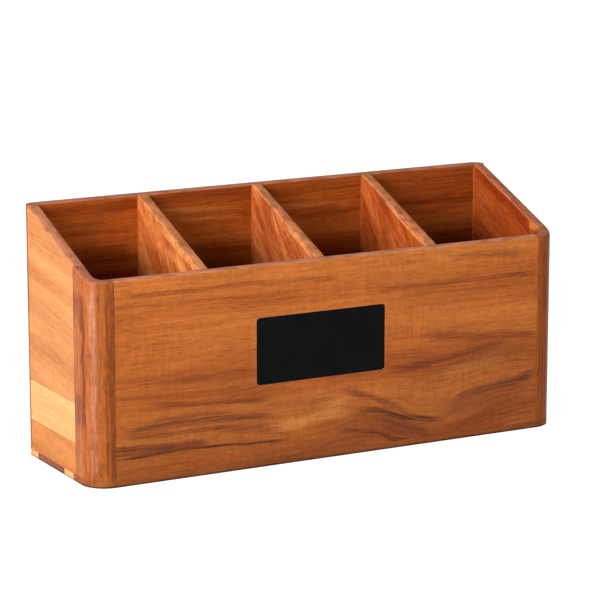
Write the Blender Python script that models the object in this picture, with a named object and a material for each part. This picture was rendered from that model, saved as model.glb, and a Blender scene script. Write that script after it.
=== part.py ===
"""Countertop utensil holder: an open wooden box of four bays, low at the front and high at the back.

The walls are edge-glued staves on a thin base. Round posts make the front corners, loose splines lock the
upright joints, three dividers stand in stopped grooves, and a blank plate is set into the front.
+X runs to the right along the front, +Y to the back and +Z up. The origin is under the middle of the base.
"""

import math

import bmesh
import bpy
from mathutils import Vector

# Outer body
WIDTH = 0.320
DEPTH = 0.097
FRONT_HEIGHT = 0.1228
BACK_HEIGHT = 0.1542
WALL = 0.0075
BASE_THICKNESS = 0.004

# Corners, seen from above
FRONT_CORNER_RADIUS = 0.0150
FRONT_CORNER_FILLET = 0.0060
BACK_CORNER_RADIUS = 0.0073
POST_FRONT_FLAT = 0.0003
POST_SIDE_FLAT = 0.0085
CORNER_STEPS = 14

# Glued joints and loose fits
JOINT_GAP = 0.0003
FIT_CLEARANCE = 0.0003

# Eased edges
RIM_OUTER_EASE = 0.0018
RIM_INNER_EASE = 0.0012
BASE_EASE = 0.0006
DIVIDER_EASE = 0.0012
SPLINE_EASE = 0.0003
EASE_STEPS = 4

# Glue lines of the walls, as heights above the table
SIDE_LOWER_JOINT = 0.0230
SIDE_UPPER_JOINT = 0.0476
BACK_LOWER_JOINT = 0.0440
BACK_UPPER_JOINT = 0.0870

# Glue lines of the base, as shares of the depth from the front edge
BASE_JOINT_SHARES = (0.28, 0.42, 0.82)

# Dividers
DIVIDER_THICKNESS = 0.007
DIVIDER_PITCH = 0.0780
MIDDLE_DIVIDER_X = -0.0057
GROOVE_DEPTH = 0.0025
GROOVE_STOP = 0.0070

# Loose splines in the upright joints
SPLINE_THICKNESS = 0.0025
SPLINE_REACH = 0.0035
BACK_SPLINE_REACH = 0.0025
SPLINE_FOOT = 0.0060
SPLINE_HEAD = 0.0120

# Label plate
LABEL_WIDTH = 0.0870
LABEL_HEIGHT = 0.0404
LABEL_CORNER = 0.0020
LABEL_X = -0.0088
LABEL_Z = 0.0708
LABEL_THICKNESS = 0.0010
LABEL_SET_BACK = 0.0002
ADHESIVE_THICKNESS = 0.0003
ADHESIVE_MARGIN = 0.0030
LABEL_CORNER_STEPS = 4

# How far a cutter runs past the face that it opens
OVERRUN = 0.0020

# Edges that turn more than this many degrees stay sharp in the shading
SHARP_ANGLE = 30

# Faces and joints that follow from the sizes above
LEFT = -WIDTH / 2
RIGHT = WIDTH / 2
FRONT = -DEPTH / 2
BACK = DEPTH / 2
INNER_FRONT = FRONT + WALL
INNER_BACK = BACK - WALL
INNER_RIGHT = RIGHT - WALL
FLOOR = BASE_THICKNESS
WALL_FOOT = FLOOR + JOINT_GAP
POST_FRONT_REACH = FRONT_CORNER_RADIUS + POST_FRONT_FLAT
POST_SIDE_REACH = FRONT_CORNER_RADIUS + POST_SIDE_FLAT
POST_JOINT_X = RIGHT - POST_FRONT_REACH
POST_JOINT_Y = FRONT + POST_SIDE_REACH
HALF_GAP = JOINT_GAP / 2

# Finishes: colour, roughness and metallic value
HEARTWOOD = ((0.48, 0.13, 0.035), 0.45, 0.0)
POST_WOOD = ((0.42, 0.10, 0.035), 0.42, 0.0)
SIDE_WOOD = ((0.72, 0.27, 0.085), 0.48, 0.0)
SAPWOOD = ((0.86, 0.47, 0.19), 0.50, 0.0)
DARK_BASE_WOOD = ((0.16, 0.035, 0.012), 0.50, 0.0)
DIVIDER_WOOD = ((0.56, 0.15, 0.045), 0.48, 0.0)
SPLINE_WOOD = ((0.70, 0.45, 0.24), 0.60, 0.0)
LABEL_BLACK = ((0.008, 0.009, 0.010), 0.62, 0.0)
ADHESIVE_GREY = ((0.45, 0.44, 0.40), 0.80, 0.0)


def clear_scene():
    """Empty the scene of its objects."""
    for old in list(bpy.data.objects):
        bpy.data.objects.remove(old, do_unlink=True)


def finish_material(name, finish):
    """Return a plain surface of one finish, with the piece's own name."""
    colour, roughness, metallic = finish
    material = bpy.data.materials.new(name + "_finish")
    material.use_nodes = True
    shader = material.node_tree.nodes["Principled BSDF"]
    shader.inputs["Base Color"].default_value = (*colour, 1.0)
    shader.inputs["Roughness"].default_value = roughness
    shader.inputs["Metallic"].default_value = metallic
    return material


def object_from(name, bm, finish):
    """Turn a bmesh into a named, shaded object with its own finish."""
    bmesh.ops.recalc_face_normals(bm, faces=bm.faces[:])
    mesh = bpy.data.meshes.new(name)
    bm.to_mesh(mesh)
    bm.free()
    mesh.shade_smooth()
    mesh.set_sharp_from_angle(angle=math.radians(SHARP_ANGLE))
    piece = bpy.data.objects.new(name, mesh)
    piece.data.materials.append(finish_material(name, finish))
    bpy.context.scene.collection.objects.link(piece)
    return piece


def cutter_from(name, bm):
    """Turn a bmesh into a hidden cutter."""
    bmesh.ops.recalc_face_normals(bm, faces=bm.faces[:])
    mesh = bpy.data.meshes.new(name)
    bm.to_mesh(mesh)
    bm.free()
    cutter = bpy.data.objects.new(name, mesh)
    cutter.hide_render = True
    cutter.display_type = "WIRE"
    bpy.context.scene.collection.objects.link(cutter)
    return cutter


def cut(piece, cutter):
    """Cut one shape out of a piece."""
    modifier = piece.modifiers.new("cut_" + cutter.name, "BOOLEAN")
    modifier.operation = "DIFFERENCE"
    modifier.object = cutter


def rim_height(y):
    """Height of the rim at a depth: level over the front and back walls, and sloping between them."""
    share = (y - INNER_FRONT) / (INNER_BACK - INNER_FRONT)
    return FRONT_HEIGHT + (BACK_HEIGHT - FRONT_HEIGHT) * min(max(share, 0.0), 1.0)


def arc(centre, radius, start, end, steps):
    """Points along an arc, with both ends, angles in degrees."""
    points = []
    for step in range(steps + 1):
        angle = math.radians(start + (end - start) * step / steps)
        points.append((centre[0] + radius * math.cos(angle), centre[1] + radius * math.sin(angle)))
    return points


def upright_board(outline, low, high=None):
    """Stand a plan outline up between two heights, or up to the rim.

    Returns the bmesh with its lower and upper rings of vertices.
    """
    bm = bmesh.new()
    lower = [bm.verts.new((x, y, low)) for x, y in outline]
    upper = [bm.verts.new((x, y, rim_height(y) if high is None else high)) for x, y in outline]
    bm.faces.new(lower)
    bm.faces.new(upper)
    count = len(outline)
    for index in range(count):
        following = (index + 1) % count
        bm.faces.new((lower[index], lower[following], upper[following], upper[index]))
    return bm, lower, upper


def ring_edges(bm, ring, sides):
    """Return the edges of a ring that start at the listed corners."""
    count = len(ring)
    return [bm.edges.get((ring[index % count], ring[(index + 1) % count])) for index in sides]


def ease(bm, edges, radius):
    """Round a run of edges."""
    bmesh.ops.bevel(bm, geom=edges, offset=radius, segments=EASE_STEPS, profile=0.5, affect="EDGES")


def box_mesh(low, high):
    """Return a box between two corners."""
    bm = bmesh.new()
    bmesh.ops.create_cube(bm, size=1.0)
    for vert in bm.verts:
        vert.co = Vector([high[axis] if vert.co[axis] > 0 else low[axis] for axis in range(3)])
    return bm


def mirrored(outline, side):
    """Return an outline of the right side, or its mirror image for the left side."""
    if side > 0:
        return outline
    return [(-x, y) for x, y in reversed(outline)]


def make_front_panel():
    """Build the front board between the posts."""
    reach = POST_JOINT_X - HALF_GAP
    outline = [(-reach, FRONT), (reach, FRONT), (reach, INNER_FRONT), (-reach, INNER_FRONT)]
    bm, _, upper = upright_board(outline, WALL_FOOT)
    outer_edges = ring_edges(bm, upper, [0])
    inner_edges = ring_edges(bm, upper, [2])
    ease(bm, outer_edges, RIM_OUTER_EASE)
    ease(bm, inner_edges, RIM_INNER_EASE)
    return object_from("front_panel", bm, HEARTWOOD)


def make_front_post(name, side):
    """Build one round front corner post, from the front joint to the side joint."""
    outer_centre = (RIGHT - FRONT_CORNER_RADIUS, FRONT + FRONT_CORNER_RADIUS)
    inner_centre = (INNER_RIGHT - FRONT_CORNER_FILLET, INNER_FRONT + FRONT_CORNER_FILLET)
    joint_x = POST_JOINT_X + HALF_GAP
    joint_y = POST_JOINT_Y - HALF_GAP
    outer = arc(outer_centre, FRONT_CORNER_RADIUS, -90, 0, CORNER_STEPS)
    inner = arc(inner_centre, FRONT_CORNER_FILLET, 0, -90, CORNER_STEPS)
    bend = outer_centre[0] + math.sqrt(FRONT_CORNER_RADIUS ** 2 - (INNER_FRONT - outer_centre[1]) ** 2)
    before = [point for point in outer if point[1] < INNER_FRONT]
    after = [point for point in outer if point[1] > INNER_FRONT]
    outline = [(joint_x, FRONT)] + before + [(bend, INNER_FRONT)] + after
    outer_count = len(outline)
    outline += [(RIGHT, joint_y), (INNER_RIGHT, joint_y)] + inner + [(joint_x, INNER_FRONT)]
    outer_bend, inner_bend = len(before) + 1, len(outline) - 2
    outer_sides = range(outer_count)
    inner_sides = range(outer_count + 1, len(outline) - 1)
    if side < 0:
        outer_sides = [len(outline) - 2 - index for index in outer_sides]
        inner_sides = [len(outline) - 2 - index for index in inner_sides]
        outer_bend, inner_bend = len(outline) - 1 - outer_bend, len(outline) - 1 - inner_bend
    bm, _, upper = upright_board(mirrored(outline, side), WALL_FOOT)
    bmesh.ops.connect_verts(bm, verts=[upper[outer_bend], upper[inner_bend]])
    outer_edges = ring_edges(bm, upper, outer_sides)
    inner_edges = ring_edges(bm, upper, inner_sides)
    ease(bm, outer_edges, RIM_OUTER_EASE)
    ease(bm, inner_edges, RIM_INNER_EASE)
    return object_from(name, bm, POST_WOOD)


def make_side_stave(name, side, low, high, finish):
    """Build one stave of a side wall, up to the rim when no height is given."""
    start = POST_JOINT_Y + HALF_GAP
    end = INNER_BACK - HALF_GAP
    outline = [(INNER_RIGHT, start), (RIGHT, start), (RIGHT, end), (INNER_RIGHT, end)]
    outer_side, inner_side = 1, 3
    bm, _, upper = upright_board(mirrored(outline, side), low, high)
    if high is None:
        outer_edges = ring_edges(bm, upper, [outer_side])
        inner_edges = ring_edges(bm, upper, [inner_side])
        ease(bm, outer_edges, RIM_OUTER_EASE)
        ease(bm, inner_edges, RIM_INNER_EASE)
    return object_from(name, bm, finish)


def back_outline():
    """Plan of the back wall, with round outer corners."""
    right_centre = (RIGHT - BACK_CORNER_RADIUS, BACK - BACK_CORNER_RADIUS)
    left_centre = (LEFT + BACK_CORNER_RADIUS, BACK - BACK_CORNER_RADIUS)
    outline = [(LEFT, INNER_BACK), (RIGHT, INNER_BACK)]
    outline += arc(right_centre, BACK_CORNER_RADIUS, 0, 90, CORNER_STEPS)
    outline += arc(left_centre, BACK_CORNER_RADIUS, 90, 180, CORNER_STEPS)
    return outline


def make_back_stave(name, low, high):
    """Build one stave of the back wall, up to the rim when no height is given."""
    outline = back_outline()
    bm, _, upper = upright_board(outline, low, high)
    if high is None:
        ease(bm, ring_edges(bm, upper, range(1, len(outline))), RIM_OUTER_EASE)
    piece = object_from(name, bm, HEARTWOOD)
    if high is None:
        cut(piece, inner_rim_cutter(name + "_inner_rim"))
    return piece


def inner_rim_cutter(name):
    """Build the flared shape that rounds the inner rim of the back wall, mitred to the side walls."""
    bm = bmesh.new()
    rings = []
    for step in range(EASE_STEPS + 1):
        angle = math.radians(90 * step / EASE_STEPS)
        flare = RIM_INNER_EASE * (1 - math.cos(angle))
        z = BACK_HEIGHT - RIM_INNER_EASE * (1 - math.sin(angle))
        rings.append((flare, z))
    rings.append((RIM_INNER_EASE, BACK_HEIGHT + OVERRUN))
    near = INNER_BACK - OVERRUN
    levels = []
    for flare, z in rings:
        side = INNER_RIGHT + flare
        corners = [(-side, near), (side, near), (side, INNER_BACK + flare), (-side, INNER_BACK + flare)]
        levels.append([bm.verts.new((x, y, z)) for x, y in corners])
    bm.faces.new(levels[0])
    bm.faces.new(levels[-1])
    for lower, upper in zip(levels, levels[1:]):
        for index in range(len(lower)):
            following = (index + 1) % len(lower)
            bm.faces.new((lower[index], lower[following], upper[following], upper[index]))
    return cutter_from(name, bm)


def make_divider(name, x):
    """Build one divider, with a tongue at each end for its stopped groove."""
    tongue = GROOVE_DEPTH - FIT_CLEARANCE
    front_edge = INNER_FRONT + FIT_CLEARANCE
    back_edge = INNER_BACK - FIT_CLEARANCE
    front_tongue = INNER_FRONT - tongue
    back_tongue = INNER_BACK + tongue
    front_stop = rim_height(INNER_FRONT) - GROOVE_STOP - FIT_CLEARANCE
    back_stop = rim_height(INNER_BACK) - GROOVE_STOP - FIT_CLEARANCE
    profile = [
        (front_tongue, WALL_FOOT),
        (back_tongue, WALL_FOOT),
        (back_tongue, back_stop),
        (back_edge, back_stop),
        (back_edge, rim_height(back_edge)),
        (front_edge, rim_height(front_edge)),
        (front_edge, front_stop),
        (front_tongue, front_stop),
    ]
    half = DIVIDER_THICKNESS / 2
    bm = bmesh.new()
    left = [bm.verts.new((x - half, y, z)) for y, z in profile]
    right = [bm.verts.new((x + half, y, z)) for y, z in profile]
    bm.faces.new(left)
    bm.faces.new(right)
    count = len(profile)
    for index in range(count):
        following = (index + 1) % count
        bm.faces.new((left[index], left[following], right[following], right[index]))
    rim_side = 4
    top_edges = ring_edges(bm, left, [rim_side]) + ring_edges(bm, right, [rim_side])
    ease(bm, top_edges, DIVIDER_EASE)
    return object_from(name, bm, DIVIDER_WOOD)


def cut_divider_grooves(divider_x, front_panel, back_staves, name):
    """Cut the two stopped grooves of one divider, open at the foot."""
    half = DIVIDER_THICKNESS / 2 + FIT_CLEARANCE
    front_low = (divider_x - half, INNER_FRONT - GROOVE_DEPTH, FLOOR - OVERRUN)
    front_high = (divider_x + half, INNER_FRONT + OVERRUN, rim_height(INNER_FRONT) - GROOVE_STOP)
    cut(front_panel, cutter_from(name + "_front_groove", box_mesh(front_low, front_high)))
    back_low = (divider_x - half, INNER_BACK - OVERRUN, FLOOR - OVERRUN)
    back_high = (divider_x + half, INNER_BACK + GROOVE_DEPTH, rim_height(INNER_BACK) - GROOVE_STOP)
    back_cutter = cutter_from(name + "_back_groove", box_mesh(back_low, back_high))
    for stave in back_staves:
        cut(stave, back_cutter)


def make_spline(name, low, high, pieces):
    """Lay a loose spline in a joint and cut its mortise into the pieces that it locks."""
    bm = box_mesh(low, high)
    bmesh.ops.bevel(bm, geom=bm.edges[:], offset=SPLINE_EASE, segments=1, profile=0.5, affect="EDGES")
    object_from(name, bm, SPLINE_WOOD)
    mortise_low = [value - FIT_CLEARANCE for value in low]
    mortise_high = [value + FIT_CLEARANCE for value in high]
    mortise = cutter_from(name + "_mortise", box_mesh(mortise_low, mortise_high))
    for piece in pieces:
        cut(piece, mortise)


def make_front_spline(name, side, front_panel, post):
    """Lay the spline between the front board and a post."""
    middle_x = side * POST_JOINT_X
    middle_y = FRONT + WALL / 2
    low = (middle_x - SPLINE_REACH, middle_y - SPLINE_THICKNESS / 2, FLOOR + SPLINE_FOOT)
    high = (middle_x + SPLINE_REACH, middle_y + SPLINE_THICKNESS / 2, FRONT_HEIGHT - SPLINE_HEAD)
    make_spline(name, low, high, [front_panel, post])


def make_side_spline(name, side, post, staves):
    """Lay the spline between a post and its side wall."""
    middle_x = side * (RIGHT - WALL / 2)
    low = (middle_x - SPLINE_THICKNESS / 2, POST_JOINT_Y - SPLINE_REACH, FLOOR + SPLINE_FOOT)
    top = rim_height(POST_JOINT_Y) - SPLINE_HEAD
    high = (middle_x + SPLINE_THICKNESS / 2, POST_JOINT_Y + SPLINE_REACH, top)
    make_spline(name, low, high, [post] + staves)


def make_back_spline(name, side, side_staves, back_staves):
    """Lay the spline between a side wall and the back wall."""
    middle_x = side * (RIGHT - WALL / 2)
    low = (middle_x - SPLINE_THICKNESS / 2, INNER_BACK - SPLINE_REACH, FLOOR + SPLINE_FOOT)
    top = rim_height(INNER_BACK) - SPLINE_HEAD
    high = (middle_x + SPLINE_THICKNESS / 2, INNER_BACK + BACK_SPLINE_REACH, top)
    make_spline(name, low, high, side_staves + back_staves)


def base_outline():
    """Plan of the base, the same as the outside of the walls."""
    front_right = (RIGHT - FRONT_CORNER_RADIUS, FRONT + FRONT_CORNER_RADIUS)
    back_right = (RIGHT - BACK_CORNER_RADIUS, BACK - BACK_CORNER_RADIUS)
    back_left = (LEFT + BACK_CORNER_RADIUS, BACK - BACK_CORNER_RADIUS)
    front_left = (LEFT + FRONT_CORNER_RADIUS, FRONT + FRONT_CORNER_RADIUS)
    outline = arc(front_right, FRONT_CORNER_RADIUS, -90, 0, CORNER_STEPS)
    outline += arc(back_right, BACK_CORNER_RADIUS, 0, 90, CORNER_STEPS)
    outline += arc(back_left, BACK_CORNER_RADIUS, 90, 180, CORNER_STEPS)
    outline += arc(front_left, FRONT_CORNER_RADIUS, 180, 270, CORNER_STEPS)
    return outline


def make_base_stave(name, start, end, finish):
    """Build the slice of the base that lies between two depths."""
    bm, lower, _ = upright_board(base_outline(), 0.0, BASE_THICKNESS)
    ease(bm, ring_edges(bm, lower, range(len(lower))), BASE_EASE)
    for depth, outward in ((start, -1), (end, 1)):
        if FRONT < depth < BACK:
            geometry = bm.verts[:] + bm.edges[:] + bm.faces[:]
            sliced = bmesh.ops.bisect_plane(bm, geom=geometry, plane_co=(0, depth, 0), plane_no=(0, outward, 0),
                                            clear_outer=True)
            rim = [item for item in sliced["geom_cut"] if isinstance(item, bmesh.types.BMEdge)]
            bmesh.ops.edgenet_fill(bm, edges=rim)
    return object_from(name, bm, finish)


def label_outline(width, height, corner):
    """Outline of a plate with small round corners, across and up from its middle."""
    half_width = width / 2 - corner
    half_height = height / 2 - corner
    outline = arc((half_width, half_height), corner, 0, 90, LABEL_CORNER_STEPS)
    outline += arc((-half_width, half_height), corner, 90, 180, LABEL_CORNER_STEPS)
    outline += arc((-half_width, -half_height), corner, 180, 270, LABEL_CORNER_STEPS)
    outline += arc((half_width, -half_height), corner, 270, 360, LABEL_CORNER_STEPS)
    return outline


def plate_mesh(outline, near, far):
    """Thicken an upright outline between two depths, about the label's middle."""
    bm = bmesh.new()
    front = [bm.verts.new((LABEL_X + x, near, LABEL_Z + z)) for x, z in outline]
    back = [bm.verts.new((LABEL_X + x, far, LABEL_Z + z)) for x, z in outline]
    bm.faces.new(front)
    bm.faces.new(back)
    count = len(outline)
    for index in range(count):
        following = (index + 1) % count
        bm.faces.new((front[index], front[following], back[following], back[index]))
    return bm


def make_label(front_panel):
    """Set the blank plate and its adhesive pad into a shallow recess of the front board."""
    plate_face = FRONT + LABEL_SET_BACK
    plate_back = plate_face + LABEL_THICKNESS
    pad_face = plate_back + JOINT_GAP
    pad_back = pad_face + ADHESIVE_THICKNESS
    recess_floor = pad_back + JOINT_GAP
    plate_plan = label_outline(LABEL_WIDTH, LABEL_HEIGHT, LABEL_CORNER)
    object_from("label_plate", plate_mesh(plate_plan, plate_face, plate_back), LABEL_BLACK)
    pad_plan = label_outline(LABEL_WIDTH - 2 * ADHESIVE_MARGIN, LABEL_HEIGHT - 2 * ADHESIVE_MARGIN, LABEL_CORNER)
    object_from("label_adhesive_pad", plate_mesh(pad_plan, pad_face, pad_back), ADHESIVE_GREY)
    recess_width = LABEL_WIDTH + 2 * FIT_CLEARANCE
    recess_height = LABEL_HEIGHT + 2 * FIT_CLEARANCE
    recess_plan = label_outline(recess_width, recess_height, LABEL_CORNER + FIT_CLEARANCE)
    cut(front_panel, cutter_from("label_recess", plate_mesh(recess_plan, FRONT - OVERRUN, recess_floor)))


def make_side_wall(name, side, middle_name, finish, middle_finish):
    """Build the three staves of one side wall."""
    lower = make_side_stave(name + "_lower_stave", side, WALL_FOOT, SIDE_LOWER_JOINT - HALF_GAP, finish)
    middle = make_side_stave(middle_name, side, SIDE_LOWER_JOINT + HALF_GAP, SIDE_UPPER_JOINT - HALF_GAP,
                             middle_finish)
    upper = make_side_stave(name + "_upper_stave", side, SIDE_UPPER_JOINT + HALF_GAP, None, finish)
    return [lower, middle, upper]


def make_back_wall():
    """Build the three staves of the back wall."""
    lower = make_back_stave("back_lower_stave", WALL_FOOT, BACK_LOWER_JOINT - HALF_GAP)
    middle = make_back_stave("back_middle_stave", BACK_LOWER_JOINT + HALF_GAP, BACK_UPPER_JOINT - HALF_GAP)
    upper = make_back_stave("back_upper_stave", BACK_UPPER_JOINT + HALF_GAP, None)
    return [lower, middle, upper]


def make_base():
    """Build the four staves of the base, from the front to the back."""
    pale_start, middle_start, back_start = (FRONT + share * DEPTH for share in BASE_JOINT_SHARES)
    make_base_stave("base_front_stave", FRONT, pale_start - HALF_GAP, DARK_BASE_WOOD)
    make_base_stave("base_pale_stave", pale_start + HALF_GAP, middle_start - HALF_GAP, SAPWOOD)
    make_base_stave("base_middle_stave", middle_start + HALF_GAP, back_start - HALF_GAP, DARK_BASE_WOOD)
    make_base_stave("base_back_stave", back_start + HALF_GAP, BACK, SAPWOOD)


def main():
    """Build every piece, then cut the grooves and mortises that join them."""
    clear_scene()
    make_base()
    front_panel = make_front_panel()
    left_post = make_front_post("front_post_left", -1)
    right_post = make_front_post("front_post_right", 1)
    left_wall = make_side_wall("left_side", -1, "left_side_pale_stave", SIDE_WOOD, SAPWOOD)
    right_wall = make_side_wall("right_side", 1, "right_side_middle_stave", SIDE_WOOD, SIDE_WOOD)
    back_wall = make_back_wall()
    for number, name in enumerate(("divider_left", "divider_middle", "divider_right")):
        x = MIDDLE_DIVIDER_X + (number - 1) * DIVIDER_PITCH
        make_divider(name, x)
        cut_divider_grooves(x, front_panel, back_wall, name)
    make_front_spline("front_spline_left", -1, front_panel, left_post)
    make_front_spline("front_spline_right", 1, front_panel, right_post)
    make_side_spline("side_spline_left", -1, left_post, left_wall)
    make_side_spline("side_spline_right", 1, right_post, right_wall)
    make_back_spline("back_spline_left", -1, left_wall, back_wall)
    make_back_spline("back_spline_right", 1, right_wall, back_wall)
    make_label(front_panel)


main()
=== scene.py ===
"""Looks of the wooden utensil holder.

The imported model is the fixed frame. Its boards keep their shape and get a timber finish each, with grain that runs
the way each board was sawn. The dried glue in the joints, the small beads in the inner corners and the coped ends of
the dividers are added here, and a small studio stands round it.
Lengths are in metres, and grain sizes in millimetres of wood. +X runs along the front, +Y to the back and +Z up.
"""
import logging
import math
from dataclasses import dataclass, field, replace
from enum import Enum

import bmesh
import bpy
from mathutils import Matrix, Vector


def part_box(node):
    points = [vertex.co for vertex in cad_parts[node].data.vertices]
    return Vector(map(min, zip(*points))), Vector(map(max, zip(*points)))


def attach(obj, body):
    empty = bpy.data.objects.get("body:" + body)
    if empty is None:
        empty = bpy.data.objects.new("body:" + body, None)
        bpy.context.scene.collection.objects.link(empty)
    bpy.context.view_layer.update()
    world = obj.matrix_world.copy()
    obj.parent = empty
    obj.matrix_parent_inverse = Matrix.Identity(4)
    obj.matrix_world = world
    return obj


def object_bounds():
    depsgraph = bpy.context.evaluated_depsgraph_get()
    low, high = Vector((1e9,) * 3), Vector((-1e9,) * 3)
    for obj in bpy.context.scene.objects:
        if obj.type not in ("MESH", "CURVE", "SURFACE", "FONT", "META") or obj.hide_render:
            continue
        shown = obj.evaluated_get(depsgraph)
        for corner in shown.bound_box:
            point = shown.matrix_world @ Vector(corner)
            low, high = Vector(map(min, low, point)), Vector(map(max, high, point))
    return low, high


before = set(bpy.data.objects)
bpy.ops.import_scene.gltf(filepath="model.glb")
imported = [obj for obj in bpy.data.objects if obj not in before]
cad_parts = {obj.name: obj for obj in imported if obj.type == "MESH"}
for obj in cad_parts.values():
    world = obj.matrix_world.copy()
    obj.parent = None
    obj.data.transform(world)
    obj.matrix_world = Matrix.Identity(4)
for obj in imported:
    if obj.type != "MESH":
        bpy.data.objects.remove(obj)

LOG = logging.getLogger("utensil_holder")
CAD_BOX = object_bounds()
BODY = "root"
MM = 0.001
DIVIDER_NAMES = ("divider_left", "divider_middle", "divider_right")
GLUE_SET_BACK = 0.00012
SPLINE_ROOM = 0.0005
INNER_RIM_EASE = 0.0012
BACK_CORNER_RADIUS = 0.0073
BOARD_CREASE_DEGREES = 32.0
PIECE_CREASE_DEGREES = 35.0
WELD_DISTANCE = 1e-6

Colour = tuple[float, float, float]
Point = tuple[float, float]
Socket = bpy.types.NodeSocket


class Run(Enum):
    """Which way a board's grain runs: the axes along, across and through the board."""

    ALONG_FRONT = (0, 2, 1)
    TO_THE_BACK = (1, 2, 0)
    UPRIGHT = (2, 0, 1)
    FLAT = (0, 1, 2)


@dataclass(frozen=True)
class Timber:
    """Colours and habits of one kind of wood.

    Args:
        light: Colour of the palest early wood.
        mid: Colour between the two.
        dark: Colour of the darkest late wood.
        streak: Colour of the narrow mineral streaks.
        band_mm: Usual width of a colour band.
        streak_mm: Usual width of a streak.
        streak_depth: How strongly streaks show.
        hair: How strongly the fine dark fibres show.
        ripple: How strongly the curly figure shows across the grain.
        rim: Colour that the rim tends to: the duller tone of sanded end grain, with painted sheen.
        rim_share: How far the sanded rim goes to that colour.
        mottle: How strongly small clouds show.
        length: Length of its bands and streaks against plain straight grain.
        painted_contact_shade: How far its lowest edge is darkened by painted contact shadow.
        roughness: Roughness of the oiled surface.
        shine: Level of its mirror-like part.
    """

    light: Colour
    mid: Colour
    dark: Colour
    streak: Colour
    band_mm: float = 9.0
    streak_mm: float = 2.4
    streak_depth: float = 0.55
    hair: float = 0.35
    ripple: float = 0.05
    rim: Colour = (0.50, 0.19, 0.10)
    rim_share: float = 0.7
    mottle: float = 0.30
    length: float = 1.0
    painted_contact_shade: float = 0.0
    roughness: float = 0.5
    shine: float = 0.2


@dataclass(frozen=True)
class Streak:
    """A long mark in one board, on a path over its face.

    Args:
        path: Points in millimetres along and across the grain, in rising order along it.
        half_mm: Half of its width.
        depth: How strongly it shows.
        tone: Colour that it tends to.
        fade_mm: Length over which its ends die away.
        strands: How far it is split into fibres.
    """

    path: tuple[Point, ...]
    half_mm: float
    depth: float
    tone: Colour
    fade_mm: float = 14.0
    strands: float = 0.6


@dataclass(frozen=True)
class Swell:
    """A place where the grain lifts or dips, as it does round a branch.

    Args:
        along_mm: Its middle along the grain.
        across_mm: Its middle across the grain.
        reach_mm: How far it reaches along and across.
        lift_mm: How far the grain moves at the middle.
    """

    along_mm: float
    across_mm: float
    reach_mm: Point
    lift_mm: float


@dataclass(frozen=True)
class Cut:
    """How one board was cut from its timber.

    Args:
        run: The way that the grain runs.
        tilt: Angle of the grain in the board's face, in degrees.
        seed: Where in the tree it comes from.
        wave_mm: How far its bands wander.
        painted_foot_shade: Painted shade, the brightness at its foot against its top.
        swells: Places where the grain bends.
        streaks: Single marks that it shows.
    """

    run: Run
    tilt: float = 0.0
    seed: float = 0.0
    wave_mm: float = 6.0
    painted_foot_shade: float = 1.0
    swells: tuple[Swell, ...] = ()
    streaks: tuple[Streak, ...] = ()


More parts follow.
